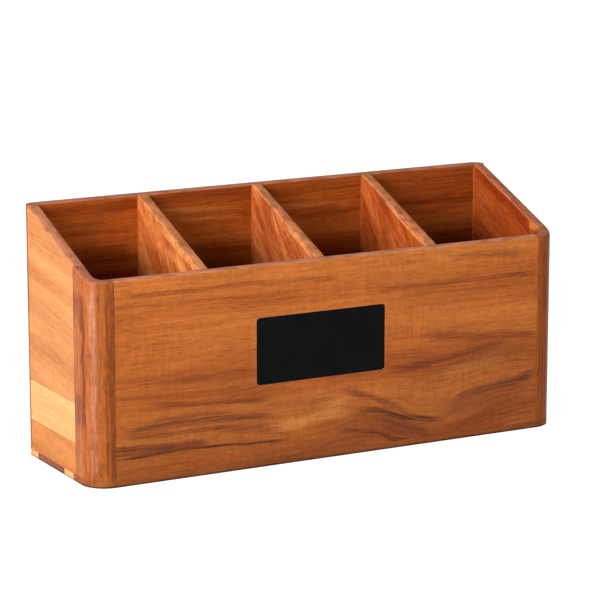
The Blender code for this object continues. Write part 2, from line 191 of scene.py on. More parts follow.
class NodeBoard:
    """Lays the shader nodes of one material or world and wires them."""

    def __init__(self, owner: bpy.types.Material | bpy.types.World) -> None:
        """Start with no nodes.

        Args:
            owner: The material or world.
        """
        owner.use_nodes = True
        self.owner = owner
        self.tree = owner.node_tree
        self.tree.nodes.clear()

    def add(self, kind: str, **settings: object) -> bpy.types.Node:
        """Lay one node.

        Args:
            kind: Its type.
            **settings: Its properties.

        Returns:
            The node.
        """
        node = self.tree.nodes.new(kind)
        for key, value in settings.items():
            setattr(node, key, value)
        return node

    def feed(self, target: Socket, value: object) -> None:
        """Wire a socket to a target, or set the target's own value.

        Args:
            target: The socket that takes the value.
            value: A socket, a number or a colour.
        """
        if isinstance(value, Socket):
            self.tree.links.new(value, target)
        elif isinstance(value, tuple) and target.type == "RGBA":
            target.default_value = (*value[:3], 1.0)
        else:
            target.default_value = value

    def calc(self, operation: str, *values: object, clamp: bool = False) -> Socket:
        """Work out one number.

        Args:
            operation: A math operation.
            *values: Numbers or sockets.
            clamp: Keep the result from 0 to 1.

        Returns:
            The result's socket.
        """
        node = self.add("ShaderNodeMath", operation=operation, use_clamp=clamp)
        for target, value in zip(node.inputs, values):
            self.feed(target, value)
        return node.outputs[0]

    def position(self) -> Socket:
        """Return the place of the shaded point in millimetres."""
        coordinates = self.add("ShaderNodeTexCoord")
        return self.scaled(coordinates.outputs["Object"], (MM, MM, MM))

    def parts(self, place: Socket) -> list[Socket]:
        """Split a place into its three numbers."""
        node = self.add("ShaderNodeSeparateXYZ")
        self.feed(node.inputs[0], place)
        return list(node.outputs)

    def joined(self, *values: object) -> Socket:
        """Join three numbers into a place."""
        node = self.add("ShaderNodeCombineXYZ")
        for target, value in zip(node.inputs, values):
            self.feed(target, value)
        return node.outputs[0]

    def scaled(self, place: Socket, reach: tuple[float, float, float], shift: float = 0.0) -> Socket:
        """Squeeze a place so that one unit is one reach, and shift it to its own part of the noise.

        Args:
            place: The place.
            reach: The length of one unit on each axis.
            shift: How far it is shifted.

        Returns:
            The squeezed place.
        """
        node = self.add("ShaderNodeVectorMath", operation="MULTIPLY_ADD")
        self.feed(node.inputs[0], place)
        node.inputs[1].default_value = [1.0 / length for length in reach]
        node.inputs[2].default_value = (shift, shift * 0.37, shift * 0.73)
        return node.outputs[0]

    def noise(self, place: Socket, reach: tuple[float, float, float], shift: float = 0.0, detail: float = 2.0,
              roughness: float = 0.5) -> Socket:
        """Read soft noise.

        Args:
            place: Where, in millimetres.
            reach: Size of its features along, across and through the wood.
            shift: Which part of the noise is read.
            detail: Finer layers that it holds.
            roughness: Weight of the finer layers.

        Returns:
            A number from 0 to 1, mostly near a half.
        """
        node = self.add("ShaderNodeTexNoise", noise_dimensions="3D")
        self.feed(node.inputs["Vector"], self.scaled(place, reach, shift))
        node.inputs["Scale"].default_value = 1.0
        node.inputs["Detail"].default_value = detail
        node.inputs["Roughness"].default_value = roughness
        return node.outputs["Fac"]

    def remap(self, value: Socket, low: float, high: float, new_low: float = 0.0, new_high: float = 1.0) -> Socket:
        """Stretch a range onto another, with soft ends.

        Args:
            value: The number.
            low: Start of its range.
            high: End of its range.
            new_low: What the start becomes.
            new_high: What the end becomes.

        Returns:
            The number on the new range.
        """
        node = self.add("ShaderNodeMapRange", interpolation_type="SMOOTHSTEP")
        for target, given in zip(node.inputs[:5], (value, low, high, new_low, new_high)):
            self.feed(target, given)
        return node.outputs[0]

    def mix(self, share: object, first: object, second: object, blend: str = "MIX") -> Socket:
        """Mix two colours.

        Args:
            share: How much of the second.
            first: A colour or socket.
            second: A colour or socket.
            blend: The blend mode.

        Returns:
            The mixed colour.
        """
        node = self.add("ShaderNodeMix", data_type="RGBA", blend_type=blend, clamp_factor=True)
        self.feed(node.inputs[0], share)
        self.feed(node.inputs[6], first)
        self.feed(node.inputs[7], second)
        return node.outputs[2]

    def ramp(self, value: Socket, stops: tuple[tuple[float, Colour], ...]) -> Socket:
        """Colour a number by a list of stops.

        Args:
            value: The number.
            stops: Places from 0 to 1 with their colours.

        Returns:
            The colour.
        """
        node = self.add("ShaderNodeValToRGB")
        node.color_ramp.interpolation = "LINEAR"
        elements = node.color_ramp.elements
        while len(elements) < len(stops):
            elements.new(1.0)
        for element, (place, colour) in zip(elements, stops):
            element.position = place
            element.color = (*colour, 1.0)
        self.feed(node.inputs[0], value)
        return node.outputs[0]

    def route(self, share: Socket, path: tuple[Point, ...]) -> Socket:
        """Read the height of a smooth path.

        Args:
            share: The place along the path, from 0 to 1.
            path: Points from 0 to 1 both ways.

        Returns:
            The height there, from 0 to 1.
        """
        node = self.add("ShaderNodeFloatCurve")
        curve = node.mapping.curves[0]
        curve.points[0].location = (0.0, min(max(path[0][1], 0.0), 1.0))
        curve.points[1].location = (1.0, min(max(path[-1][1], 0.0), 1.0))
        for x, y in path:
            if 0.002 < x < 0.998:
                curve.points.new(x, min(max(y, 0.0), 1.0))
        node.mapping.update()
        self.feed(node.inputs["Value"], share)
        return node.outputs[0]

    def grey(self, value: Socket) -> Socket:
        """Turn a number into a grey."""
        node = self.add("ShaderNodeCombineColor")
        for target in node.inputs:
            self.feed(target, value)
        return node.outputs[0]

    def relief(self, height: Socket, strength: float, distance: float) -> Socket:
        """Turn a height into a bent surface normal.

        Args:
            height: The height, from 0 to 1.
            strength: How strongly it counts.
            distance: The depth that a full step stands for, in metres.

        Returns:
            The normal.
        """
        bump = self.add("ShaderNodeBump")
        bump.inputs["Strength"].default_value = strength
        bump.inputs["Distance"].default_value = distance
        self.feed(bump.inputs["Height"], height)
        return bump.outputs[0]

    def watched(self) -> Socket:
        """Return 1 for the rays that show the background as white, and 0 for the light that falls on things."""
        rays = self.add("ShaderNodeLightPath").outputs
        seen = self.calc("MAXIMUM", rays["Is Camera Ray"], rays["Is Transmission Ray"])
        return self.calc("MAXIMUM", seen, rays["Is Glossy Ray"])

    def blend(self, kind: str, *values: Socket) -> Socket:
        """Join shaders into one.

        Args:
            kind: The type of the node that joins them.
            *values: Its inputs in order.

        Returns:
            The joined shader.
        """
        node = self.add(kind)
        for target, value in zip(node.inputs, values):
            self.feed(target, value)
        return node.outputs[0]

    def surface(self, **inputs: object) -> bpy.types.Material:
        """Lay the surface shader and wire it to the output.

        Args:
            **inputs: Values by socket name, with _ for a space.

        Returns:
            The finished material.
        """
        shader = self.add("ShaderNodeBsdfPrincipled")
        for key, value in inputs.items():
            self.feed(shader.inputs[key.replace("_", " ")], value)
        output = self.add("ShaderNodeOutputMaterial")
        self.feed(output.inputs["Surface"], shader.outputs[0])
        return self.owner


HEARTWOOD = Timber(light=(0.545, 0.163, 0.031), mid=(0.435, 0.112, 0.0195), dark=(0.28, 0.060, 0.010),
                   streak=(0.14, 0.025, 0.007), ripple=0.10, rim=(0.53, 0.215, 0.130), mottle=0.36)
LEFT_POST_WOOD = Timber(light=(0.39, 0.114, 0.027), mid=(0.29, 0.073, 0.014), dark=(0.17, 0.036, 0.006),
                        streak=(0.07, 0.015, 0.004), band_mm=3.2, streak_mm=1.1, streak_depth=0.85, hair=0.6,
                        rim=(0.38, 0.130, 0.075), mottle=0.65, roughness=0.36, shine=0.12)
RIGHT_POST_WOOD = Timber(light=(0.52, 0.150, 0.030), mid=(0.40, 0.096, 0.016), dark=(0.26, 0.052, 0.009),
                         streak=(0.12, 0.022, 0.006), band_mm=3.2, streak_mm=1.1, streak_depth=0.7, hair=0.5,
                         rim=(0.42, 0.15, 0.08), mottle=0.42, roughness=0.42, shine=0.09)
SIDE_WOOD = Timber(light=(0.58, 0.242, 0.084), mid=(0.505, 0.195, 0.062), dark=(0.38, 0.125, 0.034),
                   streak=(0.29, 0.085, 0.024), band_mm=6.0, streak_depth=0.5, hair=0.25,
                   rim=(0.47, 0.168, 0.095), mottle=0.26, shine=0.12)
LOW_SIDE_WOOD = Timber(light=(0.54, 0.200, 0.050), mid=(0.47, 0.160, 0.037), dark=(0.35, 0.100, 0.021),
                       streak=(0.25, 0.070, 0.018), band_mm=5.0, streak_depth=0.5, hair=0.3, mottle=0.28,
                       shine=0.12)
SAPWOOD = Timber(light=(0.72, 0.375, 0.150), mid=(0.65, 0.315, 0.118), dark=(0.55, 0.240, 0.080),
                 streak=(0.44, 0.17, 0.052), band_mm=6.0, streak_depth=0.3, hair=0.16, mottle=0.20, shine=0.12)
BACK_WOOD = Timber(light=(0.37, 0.088, 0.012), mid=(0.28, 0.054, 0.0065), dark=(0.165, 0.026, 0.003),
                   streak=(0.09, 0.013, 0.0025), band_mm=4.0, streak_depth=0.65, hair=0.5,
                   rim=(0.50, 0.215, 0.135), mottle=0.34, shine=0.08)
DIVIDER_WOOD = Timber(light=(0.55, 0.172, 0.047), mid=(0.39, 0.094, 0.019), dark=(0.21, 0.037, 0.007),
                      streak=(0.15, 0.020, 0.005), band_mm=3.6, streak_mm=1.7, streak_depth=0.6, ripple=0.10,
                      rim=(0.58, 0.22, 0.090), mottle=0.65, length=0.13, shine=0.10)
PINK_WOOD = replace(DIVIDER_WOOD, light=(0.54, 0.160, 0.045), mid=(0.37, 0.082, 0.017), dark=(0.21, 0.034, 0.007),
                    streak=(0.12, 0.015, 0.005), streak_depth=0.65, length=0.15)
RED_WOOD = replace(PINK_WOOD, light=(0.47, 0.118, 0.026), mid=(0.33, 0.058, 0.010), dark=(0.19, 0.024, 0.004),
                   streak=(0.11, 0.012, 0.003), streak_depth=0.7)
RIGHT_WOOD = Timber(light=(0.35, 0.070, 0.011), mid=(0.26, 0.041, 0.0060), dark=(0.15, 0.017, 0.0025),
                    streak=(0.10, 0.011, 0.003), band_mm=3.6, streak_mm=2.0, streak_depth=0.7, ripple=0.08,
                    rim=(0.50, 0.165, 0.080), mottle=0.6, length=0.22, shine=0.10)
BASE_WOOD = Timber(light=(0.29, 0.088, 0.021), mid=(0.225, 0.060, 0.013), dark=(0.14, 0.033, 0.007),
                   streak=(0.12, 0.024, 0.006), band_mm=4.0, hair=0.5, mottle=0.36, painted_contact_shade=0.85, shine=0.12)
CORE_WOOD = Timber(light=(0.26, 0.085, 0.034), mid=(0.19, 0.054, 0.020), dark=(0.11, 0.028, 0.011),
                   streak=(0.06, 0.014, 0.006), band_mm=3.0, hair=0.5, painted_contact_shade=0.8, shine=0.12)
BASE_SAPWOOD = Timber(light=(0.70, 0.36, 0.140), mid=(0.60, 0.29, 0.100), dark=(0.48, 0.20, 0.062),
                      streak=(0.38, 0.14, 0.040), band_mm=4.0, hair=0.2, painted_contact_shade=0.7, shine=0.12)

RED_BROWN = (0.14, 0.026, 0.008)
GREY_BROWN = (0.12, 0.032, 0.013)
DARK_LINE = (0.05, 0.011, 0.005)
HONEY = (0.70, 0.27, 0.065)
PEACH = (0.80, 0.36, 0.13)
EMBER = (0.20, 0.022, 0.005)


def scaled_colour(colour: Colour, factor: float) -> Colour:
    """Return a colour with each part multiplied by a factor."""
    return tuple(factor * part for part in colour)


def over_front(*shares: Point) -> tuple[Point, ...]:
    """Turn shares of the front's width and height into millimetres.

    Args:
        *shares: Points from left to right.

    Returns:
        The points along and across the grain.
    """
    low, high = CAD_BOX
    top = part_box("front_panel")[1].z
    return tuple(((low.x + x * (high.x - low.x)) / MM, z * top / MM) for x, z in shares)


FRONT_STREAKS = (
    Streak(over_front((0.05, 0.925), (0.24, 0.915), (0.30, 0.92), (0.38, 0.909), (0.52, 0.90)), 2.2, 0.55, RED_BROWN),
    Streak(over_front((0.02, 0.87), (0.16, 0.865), (0.30, 0.858), (0.44, 0.855)), 1.6, 0.35, RED_BROWN),
    Streak(over_front((0.58, 0.818), (0.66, 0.816), (0.79, 0.813), (0.96, 0.812)), 2.0, 0.7, RED_BROWN),
    Streak(over_front((0.62, 0.775), (0.72, 0.772), (0.84, 0.765), (0.95, 0.760)), 1.6, 0.45, RED_BROWN),
    Streak(over_front((0.74, 0.93), (0.81, 0.939), (0.94, 0.912)), 3.2, 0.5, RED_BROWN),
    Streak(over_front((0.06, 0.50), (0.19, 0.486), (0.28, 0.476), (0.36, 0.477)), 3.4, 0.5, RED_BROWN),
    Streak(over_front((0.10, 0.378), (0.28, 0.344), (0.38, 0.333)), 1.7, 0.75, RED_BROWN),
    Streak(over_front((0.34, 0.305), (0.43, 0.295), (0.52, 0.288)), 3.0, 0.4, GREY_BROWN),
    Streak(over_front((0.06, 0.262), (0.20, 0.279), (0.27, 0.27), (0.38, 0.255)), 2.6, 0.85, GREY_BROWN,
           14.0, 0.5),
    Streak(over_front((0.05, 0.232), (0.16, 0.230), (0.30, 0.226)), 1.8, 0.75, RED_BROWN),
    Streak(over_front((0.02, 0.184), (0.12, 0.174), (0.25, 0.162)), 2.6, 0.95, RED_BROWN, 14.0, 0.4),
    Streak(over_front((0.02, 0.155), (0.10, 0.152), (0.18, 0.158)), 1.3, 0.8, GREY_BROWN, 12.0, 0.4),
    Streak(over_front((0.10, 0.30), (0.20, 0.307), (0.30, 0.296)), 1.4, 0.6, RED_BROWN),
    Streak(over_front((0.03, 0.134), (0.13, 0.137), (0.20, 0.144), (0.28, 0.134), (0.42, 0.118)), 1.2, 1.0,
           DARK_LINE, 18.0, 0.35),
    Streak(over_front((0.24, 0.215), (0.33, 0.193), (0.42, 0.15)), 3.4, 0.5, GREY_BROWN),
    Streak(over_front((0.50, 0.33), (0.535, 0.313), (0.58, 0.277), (0.626, 0.225), (0.68, 0.165)), 2.8, 0.75,
           RED_BROWN),
    Streak(over_front((0.54, 0.22), (0.598, 0.203), (0.633, 0.165), (0.686, 0.132), (0.75, 0.112)), 2.6, 0.9,
           DARK_LINE),
    Streak(over_front((0.50, 0.13), (0.555, 0.112), (0.598, 0.087), (0.634, 0.043), (0.68, 0.012)), 2.0, 0.8,
           DARK_LINE),
    Streak(over_front((0.58, 0.175), (0.673, 0.088), (0.73, 0.02)), 3.6, 0.65, GREY_BROWN),
    Streak(over_front((0.61, 0.398), (0.70, 0.412), (0.76, 0.431), (0.817, 0.457), (0.90, 0.482)), 2.8, 0.75,
           RED_BROWN),
    Streak(over_front((0.745, 0.18), (0.786, 0.227), (0.829, 0.24), (0.916, 0.271), (0.97, 0.305)), 3.8, 0.95,
           GREY_BROWN),
    Streak(over_front((0.68, 0.56), (0.80, 0.525), (0.873, 0.509), (0.97, 0.49)), 3.4, 0.65, RED_BROWN),
    Streak(over_front((0.36, 0.185), (0.44, 0.207), (0.50, 0.222), (0.55, 0.20)), 4.0, 0.8, HONEY, 16.0, 0.3),
    Streak(over_front((0.45, 0.262), (0.505, 0.272), (0.55, 0.28)), 3.6, 0.6, HONEY, 14.0, 0.3),
    Streak(over_front((0.70, 0.31), (0.80, 0.36), (0.90, 0.39)), 5.0, 0.30, HONEY, 20.0, 0.3),
    Streak(over_front((0.52, 0.20), (0.57, 0.165), (0.63, 0.10), (0.70, 0.05)), 7.5, 0.42, RED_BROWN, 24.0, 0.2),
    Streak(over_front((0.70, 0.13), (0.80, 0.19), (0.90, 0.235), (0.99, 0.27)), 7.5, 0.40, RED_BROWN, 24.0, 0.2),
    Streak(over_front((0.50, 0.345), (0.545, 0.315), (0.60, 0.25)), 4.5, 0.45, RED_BROWN, 18.0, 0.2),
    Streak(over_front((0.28, 0.05), (0.44, 0.045), (0.62, 0.05)), 5.0, 0.30, RED_BROWN, 24.0, 0.2),
)
FRONT_SWELLS = (
    Swell(72.0, 12.0, (34.0, 26.0), -10.0),
    Swell(20.0, 22.0, (30.0, 16.0), 5.0),
    Swell(120.0, 40.0, (40.0, 24.0), 5.0),
)
POST_STREAKS = (
    Streak(((2.0, -146.5), (30.0, -146.2), (60.0, -146.7), (95.0, -146.3), (120.0, -146.5)), 2.2, 0.62,
           (0.15, 0.032, 0.010), 6.0, 0.4),
    Streak(((2.0, -149.6), (44.0, -149.9), (90.0, -149.2), (120.0, -149.6)), 0.9, 0.6, (0.11, 0.022, 0.007), 9.0, 0.5),
    # Painted highlight: a pale strip down the round of the left post, where the key lamp's reflection falls.
    Streak(((4.0, -156.2), (40.0, -156.5), (80.0, -156.0), (121.0, -156.4)), 1.9, 0.7, (0.38, 0.160, 0.100), 9.0, 0.7),
    Streak(((30.0, -159.7), (80.0, -159.5), (118.0, -159.8)), 0.5, 0.85, (0.13, 0.024, 0.008), 9.0, 0.3),
)
RIGHT_POST_STREAKS = (
    Streak(((2.0, 152.6), (60.0, 152.6), (124.0, 152.6)), 0.9, 0.85, (0.20, 0.036, 0.008), 2.0, 0.0),
    Streak(((2.0, 146.0), (60.0, 146.2), (121.0, 145.9)), 0.7, 0.6, (0.12, 0.024, 0.008), 4.0, 0.4),
)
LEFT_DIVIDER_STREAKS = (
    Streak(((-44.0, 120.5), (-20.0, 128.5), (12.0, 138.5)), 3.0, 0.5, PEACH, 10.0, 0.6),
    Streak(((-38.0, 112.0), (-16.0, 121.0), (6.0, 128.0)), 4.0, 0.35, PEACH, 12.0, 0.7),
    Streak(((2.0, 104.0), (12.0, 117.0), (22.0, 134.0)), 3.2, 0.6, EMBER, 8.0, 0.5),
    Streak(((-14.0, 106.0), (-2.0, 112.0), (8.0, 122.0)), 2.4, 0.5, EMBER, 7.0, 0.5),
)
MIDDLE_DIVIDER_STREAKS = (
    Streak(((-42.0, 121.0), (-16.0, 130.5), (-2.0, 135.0)), 1.8, 0.55, PEACH, 8.0, 0.4),
    Streak(((4.0, 126.0), (9.5, 134.0), (17.0, 143.5)), 1.3, 0.45, PEACH, 5.0, 0.4),
    Streak(((-30.0, 112.0), (-8.0, 126.0), (6.0, 136.0)), 2.6, 0.6, EMBER, 9.0, 0.5),
    Streak(((10.0, 106.0), (22.0, 120.0), (34.0, 136.0)), 3.6, 0.6, EMBER, 9.0, 0.5),
)
RIGHT_DIVIDER_STREAKS = (
    Streak(((-43.0, 121.5), (-15.0, 130.5), (14.0, 141.5)), 1.5, 0.5, PEACH, 8.0, 0.4),
    Streak(((21.0, 124.0), (25.0, 136.0), (27.5, 146.0)), 1.4, 0.9, EMBER, 3.0, 0.3),
    Streak(((14.0, 121.0), (20.0, 130.0), (24.0, 142.0)), 1.6, 0.4, PEACH, 4.0, 0.5),
    Streak(((-30.0, 110.0), (-8.0, 122.0), (12.0, 134.0)), 3.0, 0.6, EMBER, 9.0, 0.5),
)
RIGHT_WALL_STREAKS = (
    Streak(((-36.0, 120.5), (-10.0, 131.5), (12.0, 139.5), (38.0, 149.0)), 4.4, 0.85, (0.19, 0.020, 0.0025), 5.0,
           0.3),
    Streak(((12.0, 116.0), (24.0, 123.0), (38.0, 134.0)), 5.0, 0.4, (0.32, 0.085, 0.020), 8.0, 0.5),
    Streak(((4.0, 112.0), (16.0, 118.0), (32.0, 131.0)), 1.2, 0.6, EMBER, 6.0, 0.3),
)
LEFT_SIDE_STREAKS = (
    Streak(((41.2, 77.0), (52.0, 77.0)), 90.0, 0.55, (0.22, 0.060, 0.018), 1.4, 0.0),
)
BACK_STREAKS = (
    Streak(((-74.0, 142.5), (-40.0, 141.5), (-12.0, 141.0)), 2.2, 0.28, HONEY, 8.0, 0.8),
    Streak(((-66.0, 136.5), (-36.0, 136.0), (-14.0, 135.0)), 2.0, 0.24, HONEY, 8.0, 0.8),
    Streak(((2.0, 137.0), (30.0, 138.0), (64.0, 137.0)), 2.0, 0.26, HONEY, 8.0, 0.8),
    Streak(((-150.0, 133.0), (-120.0, 134.0), (-90.0, 132.0)), 1.6, 0.6, EMBER, 6.0, 0.4),
    # Painted shade: a wide dark band in the left bay, below the line of the front rim's shadow.
    Streak(((-152.0, 119.0), (-118.0, 120.5), (-90.0, 119.0)), 7.5, 0.7, (0.12, 0.016, 0.003), 8.0, 0.3),
    Streak(((78.0, 128.0), (110.0, 127.0), (150.0, 128.0)), 2.2, 0.6, EMBER, 8.0, 0.4),
)


@dataclass(frozen=True)
class Layer:
    """One layer of noise in the wood.

    Args:
        reach: Size of its features along, across and through the wood, in millimetres.
        shift: Which part of the noise it reads, after the board's seed.
        detail: Finer layers that it holds.
        roughness: Weight of the finer layers.
    """

    reach: tuple[float, float, float]
    shift: float
    detail: float = 2.0
    roughness: float = 0.5


SLOW_WAVE = Layer((150.0, 45.0, 45.0), 0.0, 1.0)
QUICK_WAVE = Layer((45.0, 14.0, 14.0), 3.1)
FIBRE = Layer((17.0, 0.80, 0.80), 4.0, 3.0, 0.65)
PORE = Layer((4.0, 0.34, 0.34), 5.0, 1.0)
PATCH = Layer((42.0, 20.0, 20.0), 6.0, 3.0, 0.55)
WOBBLE = Layer((30.0, 6.0, 6.0), 7.7, 3.0, 0.6)
CURL = Layer((1.7, 16.0, 16.0), 8.0, 2.0, 0.6)
CURL_PLACE = Layer((46.0, 20.0, 20.0), 9.0, 1.0)
FRAY = Layer((20.0, 1.1, 1.1), 12.0, 2.0, 0.6)
STRAND = Layer((30.0, 0.62, 0.62), 13.0, 2.0, 0.6)
HAIR = Layer((9.0, 0.52, 0.52), 15.0, 1.0)
RIM_CLOUD = Layer((13.0, 5.0, 5.0), 17.0, 3.0, 0.6)
MOTTLE = Layer((5.5, 2.4, 2.4), 21.0, 4.0, 0.72)


@dataclass
class WoodFinish:
    """Builds the material of one board.

    Args:
        name: The board's node.
        timber: The wood that it is made of.
        cut: How it was cut.
    """

    name: str
    timber: Timber
    cut: Cut
    board: NodeBoard = field(init=False)

    def __post_init__(self) -> None:
        """Start the material."""
        self.board = NodeBoard(bpy.data.materials.new(self.name + "_finish"))

    def read(self, place: Socket, layer: Layer) -> Socket:
        """Return one layer of this board's noise at a place, from 0 to 1."""
        return self.board.noise(place, layer.reach, self.cut.seed + layer.shift, layer.detail, layer.roughness)

    def places(self) -> tuple[Socket, Socket]:
        """Work out where a point lies in the wood.

        Returns:
            The place along, across and through the grain in millimetres, and the same place with bent grain.
        """
        board = self.board
        parts = board.parts(board.position())
        along, across, through = (parts[axis] for axis in self.cut.run.value)
        if self.cut.tilt:
            turn = math.radians(self.cut.tilt)
            turned_along = board.calc("ADD", board.calc("MULTIPLY", along, math.cos(turn)),
                                      board.calc("MULTIPLY", across, math.sin(turn)))
            turned_across = board.calc("SUBTRACT", board.calc("MULTIPLY", across, math.cos(turn)),
                                       board.calc("MULTIPLY", along, math.sin(turn)))
            along, across = turned_along, turned_across
        straight = board.joined(along, across, through)
        for swell in self.cut.swells:
            across = board.calc("SUBTRACT", across, self.swelling(swell, along, across))
        slow = board.calc("SUBTRACT", self.read(straight, SLOW_WAVE), 0.5)
        quick = board.calc("SUBTRACT", self.read(straight, QUICK_WAVE), 0.5)
        across = board.calc("MULTIPLY_ADD", slow, self.cut.wave_mm * 2.4, across)
        across = board.calc("MULTIPLY_ADD", quick, self.cut.wave_mm * 0.5, across)
        return straight, board.joined(along, across, through)

    def swelling(self, swell: Swell, along: Socket, across: Socket) -> Socket:
        """Work out how far one swell moves the grain.

        Args:
            swell: The place and size.
            along: The place along the grain.
            across: The place across it.

        Returns:
            The move in millimetres.
        """
        board = self.board
        near = board.calc("DIVIDE", board.calc("SUBTRACT", along, swell.along_mm), swell.reach_mm[0])
        high = board.calc("DIVIDE", board.calc("SUBTRACT", across, swell.across_mm), swell.reach_mm[1])
        square = board.calc("MULTIPLY_ADD", near, near, board.calc("MULTIPLY", high, high))
        return board.calc("MULTIPLY", board.calc("EXPONENT", board.calc("MULTIPLY", square, -1.0)), swell.lift_mm)

    def streaked(self, colour: Socket, bent: Socket) -> Socket:
        """Lay the single marks of a board over its colour.

        Args:
            colour: The colour so far.
            bent: The place with bent grain.

        Returns:
            The colour with its marks.
        """
        board = self.board
        low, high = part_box(self.name)
        axis_along, axis_across, _ = self.cut.run.value
        start, span = low[axis_along] / MM, (high[axis_along] - low[axis_along]) / MM
        foot, tall = low[axis_across] / MM, (high[axis_across] - low[axis_across]) / MM
        parts = board.parts(board.position())
        share = board.calc("DIVIDE", board.calc("SUBTRACT", parts[axis_along], start), span)
        wobble = board.calc("SUBTRACT", self.read(bent, WOBBLE), 0.5)
        height = board.calc("MULTIPLY_ADD", wobble, 2.2, parts[axis_across])
        fray = self.read(bent, FRAY)
        strands = board.remap(self.read(bent, STRAND), 0.40, 0.60)
        for streak in self.cut.streaks:
            path = tuple(((x - start) / span, (y - foot) / tall) for x, y in streak.path)
            middle = board.calc("MULTIPLY_ADD", board.route(share, path), tall, foot)
            away = board.calc("ABSOLUTE", board.calc("SUBTRACT", height, middle))
            ragged = board.calc("MULTIPLY_ADD", fray, streak.half_mm * 1.6, streak.half_mm * 0.35)
            body = board.remap(board.calc("DIVIDE", away, ragged), 1.0, 0.25)
            fade = streak.fade_mm / span
            ends = board.calc("MULTIPLY", board.remap(share, path[0][0], path[0][0] + fade),
                              board.remap(share, path[-1][0], path[-1][0] - fade))
            split = board.calc("MULTIPLY_ADD", strands, streak.strands * streak.depth,
                               (1.0 - streak.strands) * streak.depth)
            weight = board.calc("MULTIPLY", board.calc("MULTIPLY", body, ends), split)
            colour = board.mix(weight, colour, streak.tone)
        return colour

    def build(self) -> bpy.types.Material:
        """Build the material.

        Returns:
            The material, with colour, roughness and relief from its nodes.
        """
        board, timber = self.board, self.timber
        straight, bent = self.places()
        wide, fine = timber.band_mm * 2.2, timber.streak_mm
        broad = self.read(bent, Layer((300.0 * timber.length, wide, wide), 1.0, 3.0, 0.55))
        narrow = self.read(bent, Layer((150.0 * timber.length, fine, fine * 2.0), 2.0, 3.0, 0.6))
        fibre = self.read(bent, FIBRE)
        hair = self.read(bent, HAIR)
        mottle = self.read(bent, MOTTLE)
        pore = self.read(bent, PORE)
        patch = self.read(straight, PATCH)
        curl = self.read(bent, CURL)
        curl_place = board.remap(self.read(straight, CURL_PLACE), 0.44, 0.62, 0.25, 1.0)
        tone = board.calc("MULTIPLY_ADD", broad, 0.58, board.calc("MULTIPLY", narrow, 0.27))
        tone = board.calc("MULTIPLY_ADD", fibre, 0.15, tone)
        colour = board.ramp(tone, ((0.35, timber.dark), (0.48, timber.mid), (0.62, timber.light)))
        marks = board.calc("MULTIPLY", board.remap(narrow, 0.55, 0.74), timber.streak_depth)
        marks = board.calc("MULTIPLY", marks, board.remap(broad, 0.62, 0.40, 0.25, 1.0))
        colour = board.mix(marks, colour, timber.streak)
        if self.cut.streaks:
            colour = self.streaked(colour, bent)
        hairs = board.calc("MULTIPLY", board.remap(hair, 0.56, 0.74), timber.hair)
        hairs = board.calc("MULTIPLY", hairs, board.remap(patch, 0.62, 0.40, 0.35, 1.0))
        colour = board.mix(hairs, colour, timber.streak)
        shade = 1.0
        for cloud, weight in ((fibre, 0.42), (patch, 0.34), (mottle, timber.mottle * 2.0)):
            shade = board.calc("MULTIPLY_ADD", board.calc("SUBTRACT", cloud, 0.5), weight, shade)
        ripples = board.calc("MULTIPLY", board.calc("SUBTRACT", curl, 0.5), curl_place)
        shade = board.calc("MULTIPLY_ADD", ripples, timber.ripple * 6.0, shade)
        pits = board.remap(pore, 0.60, 0.74)
        shade = board.calc("MULTIPLY_ADD", pits, -0.22, shade)
        # Painted shade: the board is made darker towards its foot.
        if self.cut.painted_foot_shade != 1.0:
            shade = board.calc("MULTIPLY", shade, self.painted_foot_darkening(patch))
        colour = board.mix(1.0, colour, board.grey(shade), "MULTIPLY")
        slope = board.parts(board.add("ShaderNodeNewGeometry").outputs["Normal"])[2]
        upward = board.remap(slope, 0.30, 0.85)
        # Painted contact shadow along the lowest edge, where it meets the floor.
        if timber.painted_contact_shade:
            colour = self.painted_contact_shadow(colour, straight, slope)
        # Rim tone on upward faces: the duller tone of sanded end grain, with painted sheen.
        colour = self.rim_tone_and_sheen(colour, straight, upward)
        gloss = board.calc("MULTIPLY_ADD", fibre, 0.16, timber.roughness - 0.08)
        gloss = board.calc("MULTIPLY_ADD", upward, 0.9 - timber.roughness, gloss)
        height = board.calc("MULTIPLY_ADD", fibre, 0.5, board.calc("MULTIPLY", curl, 0.3))
        height = board.calc("MULTIPLY_ADD", pits, -0.6, height)
        normal = board.relief(height, 0.35, 0.00006)
        return board.surface(Base_Color=colour, Roughness=gloss, Normal=normal, Specular_IOR_Level=timber.shine)

    def painted_foot_darkening(self, patch: Socket) -> Socket:
        """Work out the painted shade near its foot: how much darker the wood is made there.

        Args:
            patch: Cloudy noise that makes the change uneven.

        Returns:
            The brightness, 1 at the top.
        """
        board = self.board
        low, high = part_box(self.name)
        height = board.parts(board.position())[2]
        height = board.calc("MULTIPLY_ADD", board.calc("SUBTRACT", patch, 0.5), 40.0, height)
        return board.remap(height, low.z / MM, (low.z + 0.75 * (high.z - low.z)) / MM, self.cut.painted_foot_shade, 1.0)

    def painted_contact_shadow(self, colour: Socket, straight: Socket, slope: Socket) -> Socket:
        """Darken the lowest millimetre with painted contact shadow, but not the underside.

        Args:
            colour: The colour so far.
            straight: The place in the wood.
            slope: Upward part of the surface's direction, -1 underneath.

        Returns:
            The colour with its dark edge.
        """
        board = self.board
        height = board.parts(board.position())[2]
        ragged = board.calc("SUBTRACT", board.noise(straight, (9.0, 9.0, 9.0)), 0.5)
        height = board.calc("MULTIPLY_ADD", ragged, 0.9, height)
        share = board.calc("MULTIPLY", board.remap(height, 1.35, 0.60), self.timber.painted_contact_shade)
        share = board.calc("MULTIPLY", share, board.remap(slope, -0.97, -0.80))
        return board.mix(share, colour, scaled_colour(self.timber.dark, 0.25))

